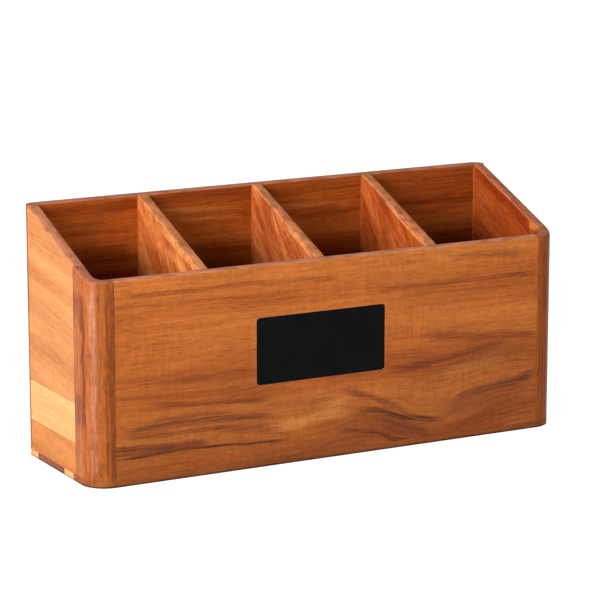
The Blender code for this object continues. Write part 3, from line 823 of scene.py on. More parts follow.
    def rim_tone_and_sheen(self, colour: Socket, straight: Socket, upward: Socket) -> Socket:
        """Give the upward faces the rim's duller mottled tone of wood sanded across the grain, with painted sheen.

        Args:
            colour: The colour so far.
            straight: The place in the wood.
            upward: How far the surface counts as rim.

        Returns:
            The colour with its sanded rim.
        """
        board, rim = self.board, self.timber.rim
        stops = ((0.37, scaled_colour(rim, 0.55)), (0.52, rim), (0.65, scaled_colour(rim, 1.18)))
        tone = board.ramp(self.read(straight, RIM_CLOUD), stops)
        return board.mix(board.calc("MULTIPLY", upward, self.timber.rim_share), colour, tone)


class GlueTone(Enum):
    """How dark the dried glue of a joint shows: its base colour and its darker patches."""

    DARK = ((0.105, 0.030, 0.010), (0.06, 0.016, 0.006))
    RED = ((0.26, 0.075, 0.022), (0.18, 0.045, 0.013))
    AMBER = ((0.42, 0.165, 0.055), (0.33, 0.115, 0.035))
    BEAD = ((0.33, 0.085, 0.020), (0.25, 0.058, 0.012))


@dataclass(frozen=True)
class GlueFinish:
    """Dried wood glue, clear amber over the darker wood behind it.

    Args:
        tone: How dark it shows.
        roughness: Roughness of its skin.
    """

    tone: GlueTone
    roughness: float = 0.42

    def build(self) -> bpy.types.Material:
        """Build the material.

        Returns:
            The material, with small clouds and a wrinkled skin.
        """
        board = NodeBoard(bpy.data.materials.new("glue_" + self.tone.name.lower() + "_finish"))
        place = board.position()
        cloud = board.noise(place, (3.0, 3.0, 3.0), 2.0, 3.0, 0.6)
        wrinkle = board.noise(place, (0.6, 0.6, 0.6), 4.0, 2.0, 0.6)
        base, patch = self.tone.value
        colour = board.mix(board.remap(cloud, 0.40, 0.62), base, patch)
        roughness = board.remap(wrinkle, 0.3, 0.7, self.roughness - 0.08, self.roughness + 0.12)
        normal = board.relief(wrinkle, 0.3, 0.00004)
        return board.surface(Base_Color=colour, Roughness=roughness, Normal=normal, Specular_IOR_Level=0.12)


@dataclass(frozen=True)
class PlateFinish:
    """Matte black writing surface with faint dust.

    Args:
        clean: Colour of the bare surface.
        dusty: Colour where it was wiped less.
        shine: Level of its mirror-like part.
    """

    clean: Colour = (0.0038, 0.0042, 0.0049)
    dusty: Colour = (0.0052, 0.0057, 0.0065)
    shine: float = 0.03

    def build(self) -> bpy.types.Material:
        """Build the material.

        Returns:
            The material, with dust clouds and fine grit.
        """
        board = NodeBoard(bpy.data.materials.new("label_finish"))
        place = board.position()
        dust = board.noise(place, (18.0, 18.0, 18.0), 3.0, 4.0, 0.6)
        wipe = board.noise(place, (22.0, 3.0, 2.4), 9.0, 3.0, 0.6)
        grit = board.noise(place, (0.4, 0.4, 0.4), 5.0, 1.0)
        cloud = board.calc("MULTIPLY_ADD", wipe, 0.4, board.calc("MULTIPLY", dust, 0.6))
        colour = board.mix(board.remap(cloud, 0.40, 0.62), self.clean, self.dusty)
        roughness = board.remap(grit, 0.3, 0.7, 0.60, 0.72)
        normal = board.relief(grit, 0.2, 0.00002)
        return board.surface(Base_Color=colour, Roughness=roughness, Normal=normal, Specular_IOR_Level=self.shine)


@dataclass(frozen=True)
class PadFinish:
    """Grey adhesive film behind the plate.

    Args:
        light: Its colour where it is thin.
        deep: Its colour where it is thick.
    """

    light: Colour = (0.50, 0.49, 0.45)
    deep: Colour = (0.40, 0.39, 0.35)

    def build(self) -> bpy.types.Material:
        """Build the material.

        Returns:
            The material, with soft clouds and a pebbled skin.
        """
        board = NodeBoard(bpy.data.materials.new("adhesive_finish"))
        place = board.position()
        cloud = board.noise(place, (4.0, 4.0, 4.0), 1.0, 2.0)
        pebble = board.noise(place, (0.5, 0.5, 0.5), 6.0, 1.0)
        colour = board.mix(cloud, self.deep, self.light)
        return board.surface(Base_Color=colour, Roughness=board.remap(pebble, 0.3, 0.7, 0.72, 0.86),
                             Normal=board.relief(pebble, 0.2, 0.00003))


@dataclass(frozen=True)
class Planes:
    """The faces and joints of the holder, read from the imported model.

    Args:
        left: Outer face of the left wall.
        right: Outer face of the right wall.
        front: Outer face of the front.
        back: Outer face of the back.
        inner_right: Inner face of the right wall, whose mirror image is the left one.
        inner_front: Inner face of the front.
        inner_back: Inner face of the back.
        floor: Top of the base.
        foot: Lower edge of the walls.
        front_rim: Height of the front.
        back_rim: Height of the back.
        post_x: Joint between the front board and the right post.
        post_y: Joint between the posts and the side walls.
        gap: Width of a glued joint.
    """

    left: float
    right: float
    front: float
    back: float
    inner_right: float
    inner_front: float
    inner_back: float
    floor: float
    foot: float
    front_rim: float
    back_rim: float
    post_x: float
    post_y: float
    gap: float

    def rim(self, y: float) -> float:
        """Return the height of the rim at a depth."""
        share = (y - self.inner_front) / (self.inner_back - self.inner_front)
        return self.front_rim + (self.back_rim - self.front_rim) * min(max(share, 0.0), 1.0)


def read_planes() -> Planes:
    """Read the planes of the holder from the boxes of its boards.

    Returns:
        The planes.
    """
    low, high = CAD_BOX
    panel_low, panel_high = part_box("front_panel")
    wall_low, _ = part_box("right_side_upper_stave")
    post_low, post_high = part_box("front_post_right")
    back_low, back_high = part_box("back_upper_stave")
    base_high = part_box("base_front_stave")[1]
    return Planes(left=low.x, right=high.x, front=low.y, back=high.y, inner_right=wall_low.x,
                  inner_front=panel_high.y, inner_back=back_low.y, floor=base_high.z, foot=panel_low.z,
                  front_rim=panel_high.z, back_rim=back_high.z, post_x=(panel_high.x + post_low.x) / 2,
                  post_y=(post_high.y + wall_low.y) / 2, gap=post_low.x - panel_high.x)


def arc(centre: Point, radius: float, start: float, end: float, steps: int) -> list[Point]:
    """List the points of an arc.

    Args:
        centre: Its middle.
        radius: Its radius.
        start: Angle of its first point, in degrees.
        end: Angle of its last point, in degrees.
        steps: How many straight steps it has.

    Returns:
        The points, with both ends.
    """
    turns = [math.radians(start + (end - start) * step / steps) for step in range(steps + 1)]
    return [(centre[0] + radius * math.cos(turn), centre[1] + radius * math.sin(turn)) for turn in turns]


def smooth(node: bpy.types.Object) -> None:
    """Shade a carried-over board smoothly, with crisp edges where it turns sharply.

    Args:
        node: The board.
    """
    mesh = node.data
    if "custom_normal" in mesh.attributes:
        mesh.attributes.remove(mesh.attributes["custom_normal"])
    mesh.shade_smooth()
    weld = node.modifiers.new("weld", "WELD")
    weld.merge_threshold = WELD_DISTANCE
    split = node.modifiers.new("crisp_edges", "EDGE_SPLIT")
    split.split_angle = math.radians(BOARD_CREASE_DEGREES)


def dress(name: str, timber: Timber, cut: Cut) -> None:
    """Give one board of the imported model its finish.

    Args:
        name: The board's node.
        timber: The wood that it is made of.
        cut: How it was cut.
    """
    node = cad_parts[name]
    smooth(node)
    node.data.materials.clear()
    node.data.materials.append(WoodFinish(name, timber, cut).build())
    LOG.info("dressed %s", name)


def oblong(low: Point, high: Point) -> list[Point]:
    """List the corners of a rectangle, from its low corner round by its high one."""
    return [low, (high[0], low[1]), high, (low[0], high[1])]


def band(bm: bmesh.types.BMesh, rings: list[list[bmesh.types.BMVert]]) -> None:
    """Join each ring of corners to the next by a band of faces.

    Args:
        bm: The mesh.
        rings: The rings, with the same count of corners each.
    """
    for first, second in zip(rings, rings[1:]):
        for index in range(len(first)):
            after = (index + 1) % len(first)
            bm.faces.new((first[index], first[after], second[after], second[index]))


def loft(bm: bmesh.types.BMesh, rings: list[list[bmesh.types.BMVert]]) -> None:
    """Build a solid through rings of corners, closed at its first and its last ring.

    Args:
        bm: The mesh.
        rings: The rings, with the same count of corners each.
    """
    bm.faces.new(rings[0])
    bm.faces.new(rings[-1])
    band(bm, rings)


def add_piece(name: str, bm: bmesh.types.BMesh, material: bpy.types.Material) -> None:
    """Turn a bmesh into a shaded piece that rides on the body.

    Args:
        name: The piece's name.
        bm: Its mesh, which is freed.
        material: Its finish.
    """
    bmesh.ops.recalc_face_normals(bm, faces=bm.faces[:])
    mesh = bpy.data.meshes.new(name)
    bm.to_mesh(mesh)
    bm.free()
    mesh.shade_smooth()
    mesh.set_sharp_from_angle(angle=math.radians(PIECE_CREASE_DEGREES))
    mesh.materials.append(material)
    piece = bpy.data.objects.new(name, mesh)
    bpy.context.scene.collection.objects.link(piece)
    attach(piece, BODY)
    LOG.info("built %s", name)


@dataclass
class GlueSheet:
    """The thin sheet of dried glue in one joint, with an uneven edge.

    Args:
        name: The piece's name.
        axis: The axis across the joint.
        middle: Where the joint lies on that axis.
        outline: Its outline on the other two axes, in their order.
        thickness: Its thickness.
        tone: How dark it shows.
        wave: How far its edge wanders inward.
        step: Length of the steps along its edge.
    """

    name: str
    axis: int
    middle: float
    outline: list[Point]
    thickness: float
    tone: GlueTone
    wave: float = 0.00009
    step: float = 0.0035

    def uneven(self) -> list[Point]:
        """Step along the outline and draw its edge in by small amounts.

        Returns:
            The finer outline.
        """
        sides = list(zip(self.outline, self.outline[1:] + self.outline[:1]))
        area = sum(here[0] * there[1] - there[0] * here[1] for here, there in sides)
        inward = 1.0 if area > 0 else -1.0
        points = []
        for index, (here, there) in enumerate(sides):
            run = Vector((there[0] - here[0], there[1] - here[1]))
            steps = max(1, round(run.length / self.step))
            side = Vector((-run.y, run.x)).normalized() * inward
            points.append(here)
            for number in range(1, steps):
                place = Vector(here) + run * (number / steps)
                swing = 0.5 + 0.3 * math.sin(1.7 * number + 3.0 * index) + 0.2 * math.sin(0.63 * number + index)
                points.append(tuple(place + side * self.wave * swing))
        return points

    def build(self) -> None:
        """Build the sheet."""
        bm = bmesh.new()
        outline = self.uneven()
        rings = []
        for offset in (-self.thickness / 2, self.thickness / 2):
            ring = []
            for first, second in outline:
                place = [first, second]
                place.insert(self.axis, self.middle + offset)
                ring.append(bm.verts.new(place))
            rings.append(ring)
        loft(bm, rings)
        bmesh.ops.triangulate(bm, faces=[face for face in bm.faces if len(face.verts) > 4])
        add_piece(self.name, bm, GlueFinish(self.tone).build())


@dataclass
class CornerBead:
    """A fine hollow bead of wiped glue down an inner corner.

    Args:
        name: The piece's name.
        corner: The corner, seen from above.
        toward: Signs of the way out of the corner.
        low: Its lower end.
        high: Its upper end.
        radius: Its size.
        step: Length of the steps along it.
        facets: Flat steps round its hollow face.
    """

    name: str
    corner: Point
    toward: Point
    low: float
    high: float
    radius: float = 0.0006
    step: float = 0.006
    facets: int = 4

    def build(self) -> None:
        """Build the bead."""
        bm = bmesh.new()
        levels = max(2, round((self.high - self.low) / self.step))
        rings = []
        for level in range(levels + 1):
            z = self.low + (self.high - self.low) * level / levels
            size = self.radius * (1.0 + 0.14 * math.sin(1.9 * level) + 0.08 * math.sin(0.7 * level + 1.0))
            section = [(0.0, 0.0)] + arc((size, size), size * 0.94, 270.0, 180.0, self.facets)
            rings.append([bm.verts.new((self.corner[0] + self.toward[0] * x, self.corner[1] + self.toward[1] * y, z))
                          for x, y in section])
        loft(bm, rings)
        add_piece(self.name, bm, GlueFinish(GlueTone.BEAD).build())


@dataclass
class WallJoint:
    """The outline of the glue in an upright joint through one wall.

    The sheet follows the eased rim and leaves out the loose spline in the middle of the joint.

    Args:
        outer: The wall's outer face.
        inner: The wall's inner face.
        foot: Lower end of the joint.
        top: Height of the rim there.
        spline: Low and high side of the spline across the wall.
        spline_top: Upper end of the spline.
        set_back: How far the glue lies below the faces.
        outer_ease: Radius of the rim's outer edge.
        inner_ease: Radius of the rim's inner edge.
        room: Room kept round the spline.
    """

    outer: float
    inner: float
    foot: float
    top: float
    spline: Point
    spline_top: float
    set_back: float = GLUE_SET_BACK
    outer_ease: float = 0.0018
    inner_ease: float = INNER_RIM_EASE
    room: float = SPLINE_ROOM

    def outline(self) -> list[Point]:
        """List the outline across and up the joint.

        Returns:
            The points.
        """
        way = 1.0 if self.inner > self.outer else -1.0
        edge_out, edge_in = self.outer + way * self.set_back, self.inner - way * self.set_back
        outer_turn = arc((self.outer + way * self.outer_ease, self.top - self.outer_ease),
                         self.outer_ease - self.set_back, 180.0 if way > 0 else 0.0, 90.0, 5)
        inner_turn = arc((self.inner - way * self.inner_ease, self.top - self.inner_ease),
                         self.inner_ease - self.set_back, 90.0, 0.0 if way > 0 else 180.0, 5)
        near_out, near_in = (self.spline if way > 0 else self.spline[::-1])
        slot_out, slot_in = near_out - way * self.room, near_in + way * self.room
        head = self.spline_top + self.room
        return ([(edge_out, self.foot)] + outer_turn + inner_turn
                + [(edge_in, self.foot), (slot_in, self.foot), (slot_in, head), (slot_out, head),
                   (slot_out, self.foot)])


@dataclass
class FrontWall:
    """The front board and its two corner posts.

    Args:
        planes: The holder's faces and joints.
    """

    planes: Planes

    def build(self) -> None:
        """Lay the glue between the front board and each post."""
        planes = self.planes
        for side, sign in (("left", -1.0), ("right", 1.0)):
            low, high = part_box("front_spline_" + side)
            joint = WallJoint(planes.front, planes.inner_front, planes.foot, planes.front_rim, (low.y, high.y),
                              high.z)
            GlueSheet("post_glue_" + side, 0, sign * planes.post_x, joint.outline(), planes.gap,
                      GlueTone.DARK).build()

    def dress(self) -> None:
        """Give the front board and the posts their finishes."""
        # Painted shade: the front is made darker towards its foot.
        front = Cut(Run.ALONG_FRONT, seed=11.0, wave_mm=5.0, painted_foot_shade=0.76, swells=FRONT_SWELLS,
                    streaks=FRONT_STREAKS)
        dress("front_panel", HEARTWOOD, front)
        left = Cut(Run.UPRIGHT, seed=21.0, wave_mm=2.0, streaks=POST_STREAKS)
        dress("front_post_left", LEFT_POST_WOOD, left)
        right = Cut(Run.UPRIGHT, seed=27.0, wave_mm=2.0, streaks=RIGHT_POST_STREAKS)
        dress("front_post_right", RIGHT_POST_WOOD, right)


@dataclass
class SideWalls:
    """The staves of both side walls.

    Args:
        planes: The holder's faces and joints.
        set_back: How far the glue lies below the faces.
        room: Room kept round the splines.
    """

    planes: Planes
    set_back: float = GLUE_SET_BACK
    room: float = SPLINE_ROOM

    def build(self) -> None:
        """Lay the glue between the staves, and where the walls meet the posts and the back."""
        planes = self.planes
        for side, sign, middle in (("left", -1.0, "left_side_pale_stave"),
                                   ("right", 1.0, "right_side_middle_stave")):
            outer, inner = sign * planes.right, sign * planes.inner_right
            low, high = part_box("side_spline_" + side)
            post = WallJoint(outer, inner, planes.foot, planes.rim(planes.post_y), (low.x, high.x), high.z)
            GlueSheet("side_glue_" + side, 1, planes.post_y, post.outline(), planes.gap, GlueTone.DARK).build()
            far_low, far_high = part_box("back_spline_" + side)
            corner = WallJoint(outer, inner, planes.foot, planes.back_rim, (far_low.x, far_high.x), far_high.z)
            GlueSheet("corner_glue_" + side, 1, planes.inner_back - planes.gap / 2, corner.outline(), planes.gap,
                      GlueTone.RED).build()
            stave_low, stave_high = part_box(middle)
            reach = (stave_low.y, stave_high.y)
            for level, z in (("lower", stave_low.z - planes.gap / 2), ("upper", stave_high.z + planes.gap / 2)):
                outline = self.stave_outline(sign, reach, (low, high), (far_low, far_high))
                GlueSheet("stave_glue_" + side + "_" + level, 2, z, outline, planes.gap, GlueTone.AMBER).build()

    def stave_outline(self, sign: float, reach: Point, near: tuple[Vector, Vector],
                      far: tuple[Vector, Vector]) -> list[Point]:
        """List the outline of the glue between two staves, with notches for both splines.

        Args:
            sign: -1 for the left wall and 1 for the right one.
            reach: Front and back end of the staves.
            near: Corners of the spline at the post.
            far: Corners of the spline at the back wall.

        Returns:
            The points, seen from above.
        """
        outer = self.planes.right - self.set_back
        inner = self.planes.inner_right + self.set_back
        slot_low = min(abs(near[0].x), abs(near[1].x)) - self.room
        slot_high = max(abs(near[0].x), abs(near[1].x)) + self.room
        front_notch, back_notch = near[1].y + self.room, far[0].y - self.room
        points = [(inner, reach[0]), (slot_low, reach[0]), (slot_low, front_notch), (slot_high, front_notch),
                  (slot_high, reach[0]), (outer, reach[0]), (outer, reach[1]), (slot_high, reach[1]),
                  (slot_high, back_notch), (slot_low, back_notch), (slot_low, reach[1]), (inner, reach[1])]
        return [(sign * x, y) for x, y in points]

    def dress(self) -> None:
        """Give each stave its finish."""
        staves = (
            ("left_side_lower_stave", LOW_SIDE_WOOD, 31.0, 5.0, LEFT_SIDE_STREAKS, "side_wood"),
            ("left_side_pale_stave", SAPWOOD, 33.0, 0.0, LEFT_SIDE_STREAKS, "sapwood"),
            ("left_side_upper_stave", SIDE_WOOD, 35.0, 7.0, LEFT_SIDE_STREAKS, "side_wood"),
            ("right_side_lower_stave", LOW_SIDE_WOOD, 37.0, 0.0, (), "side_wood"),
            ("right_side_middle_stave", SIDE_WOOD, 39.0, 0.0, (), "side_wood"),
            ("right_side_upper_stave", RIGHT_WOOD, 41.0, 20.0, RIGHT_WALL_STREAKS, "side_wood"),
        )
        for name, timber, seed, tilt, streaks, slot in staves:
            dress(name, timber, Cut(Run.TO_THE_BACK, tilt=tilt, seed=seed, wave_mm=4.0, streaks=streaks))


@dataclass
class BackWall:
    """The staves of the back wall.

    Args:
        planes: The holder's faces and joints.
        corner_radius: Radius of its outer corners, seen from above.
        set_back: How far the glue lies below the faces.
        room: Room kept round the splines and the divider grooves.
    """

    planes: Planes
    corner_radius: float = BACK_CORNER_RADIUS
    set_back: float = GLUE_SET_BACK
    room: float = SPLINE_ROOM

    def build(self) -> None:
        """Lay the glue between the staves."""
        planes = self.planes
        groove = max(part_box(name)[1].y for name in DIVIDER_NAMES) + self.room
        notches = [(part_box(name)[0].x - self.room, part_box(name)[1].x + self.room) for name in DIVIDER_NAMES]
        near = planes.inner_back + self.set_back
        radius = self.corner_radius - self.set_back
        right = (planes.right - self.corner_radius, planes.back - self.corner_radius)
        left = (planes.left + self.corner_radius, planes.back - self.corner_radius)
        spline_low, spline_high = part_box("back_spline_right")
        ends = (spline_low.x - self.room, spline_high.x + self.room)
        slot = spline_high.y + self.room
        outline = [(planes.left + self.set_back, near), (-ends[1], near), (-ends[1], slot), (-ends[0], slot),
                   (-ends[0], near)]
        for start, end in notches:
            outline += [(start, near), (start, groove), (end, groove), (end, near)]
        outline += [(ends[0], near), (ends[0], slot), (ends[1], slot), (ends[1], near)]
        outline += [(planes.right - self.set_back, near)]
        outline += arc(right, radius, 0.0, 90.0, 8) + arc(left, radius, 90.0, 180.0, 8)
        for level, lower in (("lower", "back_lower_stave"), ("upper", "back_middle_stave")):
            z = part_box(lower)[1].z + planes.gap / 2
            GlueSheet("back_glue_" + level, 2, z, outline, planes.gap, GlueTone.DARK).build()

    def dress(self) -> None:
        """Give each stave its finish."""
        staves = (
            ("back_lower_stave", 51.0, 1.0, ()),
            ("back_middle_stave", 53.0, 1.0, ()),
            # Painted shade: the upper back stave is made darker towards its foot, deep in the bays.
            ("back_upper_stave", 55.0, 0.55, BACK_STREAKS),
        )
        for name, seed, shade, streaks in staves:
            cut = Cut(Run.ALONG_FRONT, seed=seed, wave_mm=3.0, painted_foot_shade=shade, streaks=streaks)
            dress(name, BACK_WOOD, cut)


@dataclass
class Base:
    """The staves of the base.

    Args:
        planes: The holder's faces and joints.
        front_radius: Outer radius of the front corners, seen from above.
        front_fillet: Inner radius of the front corners.
        back_radius: Outer radius of the back corners.
        set_back: How far the glue lies below the faces.
        foot_wave: How far the glue under the dividers is drawn in, negative because it squeezes out.
        steps: Straight steps in each corner.
    """

    planes: Planes
    front_radius: float = 0.0150
    front_fillet: float = 0.0060
    back_radius: float = BACK_CORNER_RADIUS
    set_back: float = 0.00015
    foot_wave: float = -0.0004
    steps: int = 12

    def ring(self, low: Point, high: Point, front_radius: float, back_radius: float) -> list[Point]:
        """List a plan outline with round corners.

        Args:
            low: Its left front corner.
            high: Its right back corner.
            front_radius: Radius of its front corners.
            back_radius: Radius of its back corners.

        Returns:
            The points, anticlockwise from the left front corner.
        """
        front, back = front_radius, back_radius
        return (arc((low[0] + front, low[1] + front), front, 180.0, 270.0, self.steps)
                + arc((high[0] - front, low[1] + front), front, 270.0, 360.0, self.steps)
                + arc((high[0] - back, high[1] - back), back, 0.0, 90.0, self.steps)
                + arc((low[0] + back, high[1] - back), back, 90.0, 180.0, self.steps))

    def build(self) -> None:
        """Lay the glue under the walls and the dividers, and between the staves."""
        planes, inset = self.planes, self.set_back
        bm = bmesh.new()
        outer = self.ring((planes.left + inset, planes.front + inset), (planes.right - inset, planes.back - inset),
                          self.front_radius - inset, self.back_radius - inset)
        inner = self.ring((-planes.inner_right - inset, planes.inner_front - inset),
                          (planes.inner_right + inset, planes.inner_back + inset), self.front_fillet + inset, inset)
        rings = [[bm.verts.new((x, y, z)) for x, y in ring]
                 for ring, z in ((outer, planes.floor), (outer, planes.foot), (inner, planes.foot),
                                 (inner, planes.floor))]
        band(bm, rings + rings[:1])
        add_piece("base_glue", bm, GlueFinish(GlueTone.RED).build())
        level = (planes.floor + planes.foot) / 2
        for name in DIVIDER_NAMES:
            low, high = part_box(name)
            outline = oblong((low.x, planes.inner_front), (high.x, planes.inner_back))
            GlueSheet(name + "_foot_glue", 2, level, outline, planes.gap, GlueTone.RED, wave=self.foot_wave).build()
        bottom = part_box("base_pale_stave")[0].z + 4.0 * inset
        outline = oblong((planes.left + inset, bottom), (planes.right - inset, planes.floor - inset))
        for name, stave in (("front", "base_front_stave"), ("middle", "base_pale_stave"),
                            ("back", "base_middle_stave")):
            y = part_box(stave)[1].y + planes.gap / 2
            GlueSheet("base_stave_glue_" + name, 1, y, outline, planes.gap, GlueTone.RED).build()

    def dress(self) -> None:
        """Give each stave its finish."""
        staves = (
            ("base_front_stave", BASE_WOOD, 61.0, "dark_heartwood"),
            ("base_pale_stave", BASE_SAPWOOD, 63.0, "sapwood"),
            ("base_middle_stave", CORE_WOOD, 65.0, "dark_heartwood"),
            ("base_back_stave", BASE_SAPWOOD, 67.0, "sapwood"),
        )
        for name, timber, seed, slot in staves:
            dress(name, timber, Cut(Run.FLAT, seed=seed, wave_mm=4.0))


@dataclass
class Dividers:
    """The three dividers, with coped ends at the rims and beads in their corners.

    Args:
        planes: The holder's faces and joints.
        rim_ease: Radius of the walls' inner rims, which the ends are coped to.
        edge_ease: Radius of the dividers' own upper edges.
        bead_drop: How far the beads stop below the rim.
        skin: Air between a coped end and the wood round it.
        tuck: How far a coped end reaches below the rounding of the rim.
        crown_drop: How far it stays below the rim.
        section: Its upper edge from left to right: the place in half widths and the drop in edge radii.
    """

    planes: Planes
    rim_ease: float = INNER_RIM_EASE
    edge_ease: float = 0.0012
    bead_drop: float = 0.0016
    skin: float = 0.00006
    tuck: float = 0.0006
    crown_drop: float = 0.00002
    section: tuple[Point, ...] = ((-1.0, 0.70), (-0.86, 0.25), (-0.66, 0.0), (0.66, 0.0), (0.86, 0.25), (1.0, 0.70))

    def build(self) -> None:
        """Add the coped ends and the corner beads."""
        for name in DIVIDER_NAMES:
            low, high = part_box(name)
            self.cope(name + "_front_cope", name, low.x, high.x, self.planes.inner_front, -1.0,
                      self.planes.front_rim)
            self.cope(name + "_back_cope", name, low.x, high.x, self.planes.inner_back, 1.0, self.planes.back_rim)
            for face, sign, side in ((low.x, -1.0, "left"), (high.x, 1.0, "right")):
                for wall, way, end, rim in ((self.planes.inner_front, 1.0, "front", self.planes.front_rim),
                                            (self.planes.inner_back, -1.0, "back", self.planes.back_rim)):
                    CornerBead(name + "_bead_" + side + "_" + end, (face, wall), (sign, way), self.planes.foot,
                               rim - self.bead_drop).build()
        for sign, side in ((-1.0, "left"), (1.0, "right")):
            corner = (sign * self.planes.inner_right, self.planes.inner_back)
            CornerBead("wall_bead_" + side, corner, (-sign, -1.0), self.planes.foot,
                       self.planes.back_rim - self.bead_drop).build()

    def cope(self, name: str, divider: str, left: float, right: float, wall: float, way: float, rim: float) -> None:
        """Build the small end of a divider that runs up over the rounded rim of a wall.

        Args:
            name: The piece's name.
            divider: The divider that it belongs to.
            left: Left face of the divider.
            right: Right face of the divider.
            wall: Inner face of the wall.
            way: Sign of the way into the wall.
            rim: Height of the wall.
        """
        ease, skin = self.rim_ease, self.skin
        centre = (wall + way * ease, rim - ease)
        hollow = arc(centre, ease + skin, 180.0 if way > 0 else 0.0, 90.0, 6)
        near = wall - way * self.planes.gap
        crown = rim - self.crown_drop
        lowest = rim - ease - self.tuck
        profile = [(near, lowest), (wall - way * skin, lowest)] + hollow[1:-1]
        profile += [(wall + way * ease * 0.9, crown), (near, crown)]
        half, middle = (right - left) / 2, (left + right) / 2
        bm = bmesh.new()
        rings = []
        for across, drop in self.section:
            x = middle + across * (half - skin)
            ring = []
            for y, z in profile:
                share = max(0.0, (z - lowest) / (crown - lowest))
                ring.append(bm.verts.new((x, y, min(z, crown) - self.edge_ease * drop * share)))
            rings.append(ring)
        loft(bm, rings)
        add_piece(name, bm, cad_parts[divider].data.materials[0])

    def dress(self) -> None:
        """Give each divider its finish."""
        boards = (
            (DIVIDER_WOOD, 52.0, 71.0, LEFT_DIVIDER_STREAKS),
            (PINK_WOOD, 46.0, 76.0, MIDDLE_DIVIDER_STREAKS),
            (RED_WOOD, 56.0, 81.0, RIGHT_DIVIDER_STREAKS),
        )
        for name, (timber, tilt, seed, streaks) in zip(DIVIDER_NAMES, boards):
            cut = Cut(Run.TO_THE_BACK, tilt=tilt, seed=seed, wave_mm=9.0, streaks=streaks)
            dress(name, timber, cut)


def dress_splines() -> None:
    """Give the loose splines that lock the upright joints their finish."""
    for name in sorted(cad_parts):
        if "_spline_" in name:
            dress(name, SAPWOOD, Cut(Run.UPRIGHT, seed=83.0, wave_mm=2.0))


@dataclass
class LabelPlate:
    """The blank writing plate on the front and its adhesive pad.

    Args:
        edge: Size of the broken edge round the plate.
        edge_degrees: The least turn between two faces that counts as an edge.
    """

    edge: float = 0.0003
    edge_degrees: float = 50.0

    def dress(self) -> None:
        """Give the plate its matte black face and its broken edge, and the pad its film."""
        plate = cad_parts["label_plate"]
        smooth(plate)
        broken = plate.modifiers.new("broken_edge", "BEVEL")
        broken.width = self.edge
        broken.segments = 2
        broken.limit_method = "ANGLE"
        broken.angle_limit = math.radians(self.edge_degrees)
        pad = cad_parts["label_adhesive_pad"]
        for node, finish, slot in ((plate, PlateFinish(), "label_black"), (pad, PadFinish(), "adhesive_film")):
            node.data.materials.clear()
            node.data.materials.append(finish.build())
        LOG.info("dressed the label")


@dataclass(frozen=True)
class Lamp:
    """One soft square lamp that faces the holder.

    Args:
        name: Its name.
        heading: Its direction about +Z, in degrees.
        height: Its height angle, in degrees.
        distance: Its distance.
        size: Its side.
        power: Its power in watts.
        mirrored: Whether shiny surfaces show its image.
    """

    name: str
    heading: float
    height: float
    distance: float
    size: float
    power: float
    mirrored: bool = True


def stand_back(thing: bpy.types.Object, aim: Vector, heading: float, height: float, distance: float) -> None:
    """Put a camera or lamp in the scene, away from a point and facing it.

    Args:
        thing: The camera or lamp.
        aim: The point.
        heading: Direction from the point about +Z, in degrees.
        height: Height angle of that direction, in degrees.
        distance: Distance from the point.
    """
    around, up = math.radians(heading), math.radians(height)
    back = Vector((math.sin(around) * math.cos(up), -math.cos(around) * math.cos(up), math.sin(up)))
    thing.location = aim + back * distance
    thing.rotation_mode = "QUATERNION"
    thing.rotation_quaternion = (-back).to_track_quat("-Z", "Y")
    bpy.context.scene.collection.objects.link(thing)


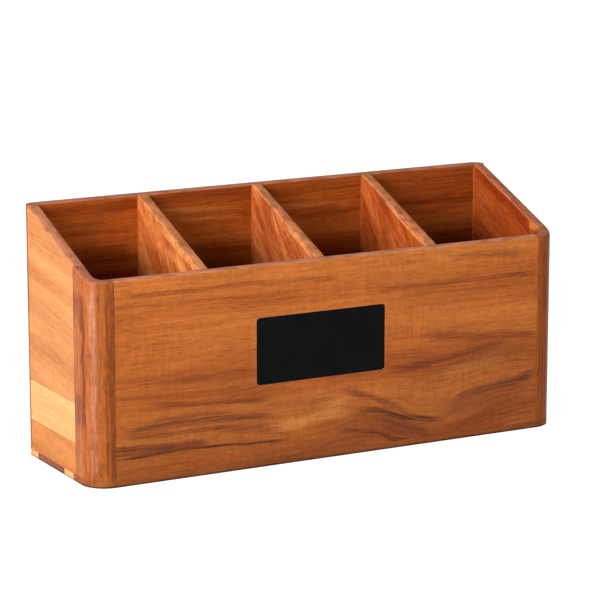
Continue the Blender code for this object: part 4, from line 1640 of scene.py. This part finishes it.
@dataclass
class Studio:
    """Floor, lamps, world and camera.

    Args:
        azimuth: Camera heading about +Z, in degrees, negative from the left.
        elevation: Camera height angle, in degrees.
        distance: From the camera to the aim point.
        lens_mm: Focal length.
        sensor_mm: Width of the sensor.
        clip: Nearest and farthest distance that the camera shows.
        aim: The point that the camera looks at.
        lamps: The lamps.
        sky: Strength of the even light from all round.
        floor_grey: How much of the light the floor gives back.
        floor_seen: How much of the light on it the camera sees.
        floor_glow: How white the floor looks to the camera, without the light on it.
        floor_half: Half of its side.
    """

    azimuth: float = -28.294
    elevation: float = 12.266
    distance: float = 1.72653
    lens_mm: float = 168.45
    sensor_mm: float = 36.0
    clip: Point = (0.05, 50.0)
    aim: tuple[float, float, float] = (0.003050, 0.000840, 0.087280)
    lamps: tuple[Lamp, ...] = (
        Lamp("key", -72.0, 19.0, 2.0, 0.9, 62.0),
        Lamp("front_fill", -10.0, 4.0, 2.4, 0.6, 22.0, mirrored=False),
        Lamp("back_fill", 150.0, 40.0, 2.4, 1.6, 12.0),
    )
    sky: float = 0.22
    floor_grey: float = 0.42
    floor_seen: float = 0.22
    floor_glow: float = 0.94
    floor_half: float = 6.0

    def camera(self) -> None:
        """Set the camera at the photograph's view."""
        data = bpy.data.cameras.new("camera")
        data.lens = self.lens_mm
        data.sensor_width = self.sensor_mm
        data.clip_start, data.clip_end = self.clip
        camera = bpy.data.objects.new("camera", data)
        stand_back(camera, Vector(self.aim), self.azimuth, self.elevation, self.distance)
        bpy.context.scene.camera = camera

    def hang(self, lamp: Lamp) -> None:
        """Hang one lamp.

        Args:
            lamp: The lamp.
        """
        data = bpy.data.lights.new(lamp.name, "AREA")
        data.shape = "SQUARE"
        data.size = lamp.size
        data.energy = lamp.power
        hung = bpy.data.objects.new(lamp.name, data)
        hung.visible_glossy = lamp.mirrored
        stand_back(hung, Vector((0.0, 0.0, CAD_BOX[1].z / 2)), lamp.heading, lamp.height, lamp.distance)

    def world(self) -> None:
        """Give an even sky that looks white to the camera."""
        world = bpy.data.worlds.new("studio")
        bpy.context.scene.world = world
        board = NodeBoard(world)
        skies = []
        for strength in (self.sky, 1.0):
            sky = board.add("ShaderNodeBackground")
            board.feed(sky.inputs["Color"], (1.0, 1.0, 1.0))
            board.feed(sky.inputs["Strength"], strength)
            skies.append(sky.outputs[0])
        output = board.add("ShaderNodeOutputWorld")
        board.feed(output.inputs["Surface"], board.blend("ShaderNodeMixShader", board.watched(), *skies))

    def floor(self) -> None:
        """Lay a white floor that keeps a faint shadow."""
        mesh = bpy.data.meshes.new("floor")
        grid = bmesh.new()
        bmesh.ops.create_grid(grid, x_segments=1, y_segments=1, size=self.floor_half)
        grid.to_mesh(mesh)
        grid.free()
        floor = bpy.data.objects.new("floor", mesh)
        bpy.context.scene.collection.objects.link(floor)
        board = NodeBoard(bpy.data.materials.new("floor_finish"))
        mattes = []
        for level in (self.floor_grey, self.floor_seen):
            matte = board.add("ShaderNodeBsdfDiffuse")
            board.feed(matte.inputs["Color"], (level, level, level))
            mattes.append(matte.outputs[0])
        glow = board.add("ShaderNodeEmission")
        board.feed(glow.inputs["Strength"], self.floor_glow)
        seen = board.blend("ShaderNodeAddShader", mattes[1], glow.outputs[0])
        output = board.add("ShaderNodeOutputMaterial")
        board.feed(output.inputs["Surface"], board.blend("ShaderNodeMixShader", board.watched(), mattes[0], seen))
        mesh.materials.append(board.owner)

    def build(self) -> None:
        """Set up everything that isn't the holder."""
        self.camera()
        self.world()
        self.floor()
        for lamp in self.lamps:
            self.hang(lamp)
        bpy.context.scene.view_settings.view_transform = "Standard"
        LOG.info("set up the studio")


def main() -> None:
    """Dress the holder's boards in order, add its glue and coped ends, and set up the studio."""
    logging.basicConfig(level=logging.INFO, format="%(message)s")
    planes = read_planes()
    walls = (FrontWall(planes), SideWalls(planes), BackWall(planes), Base(planes), Dividers(planes))
    for part in walls:
        part.dress()
        part.build()
    dress_splines()
    LabelPlate().dress()
    Studio().build()


if __name__ == "__main__":
    main()
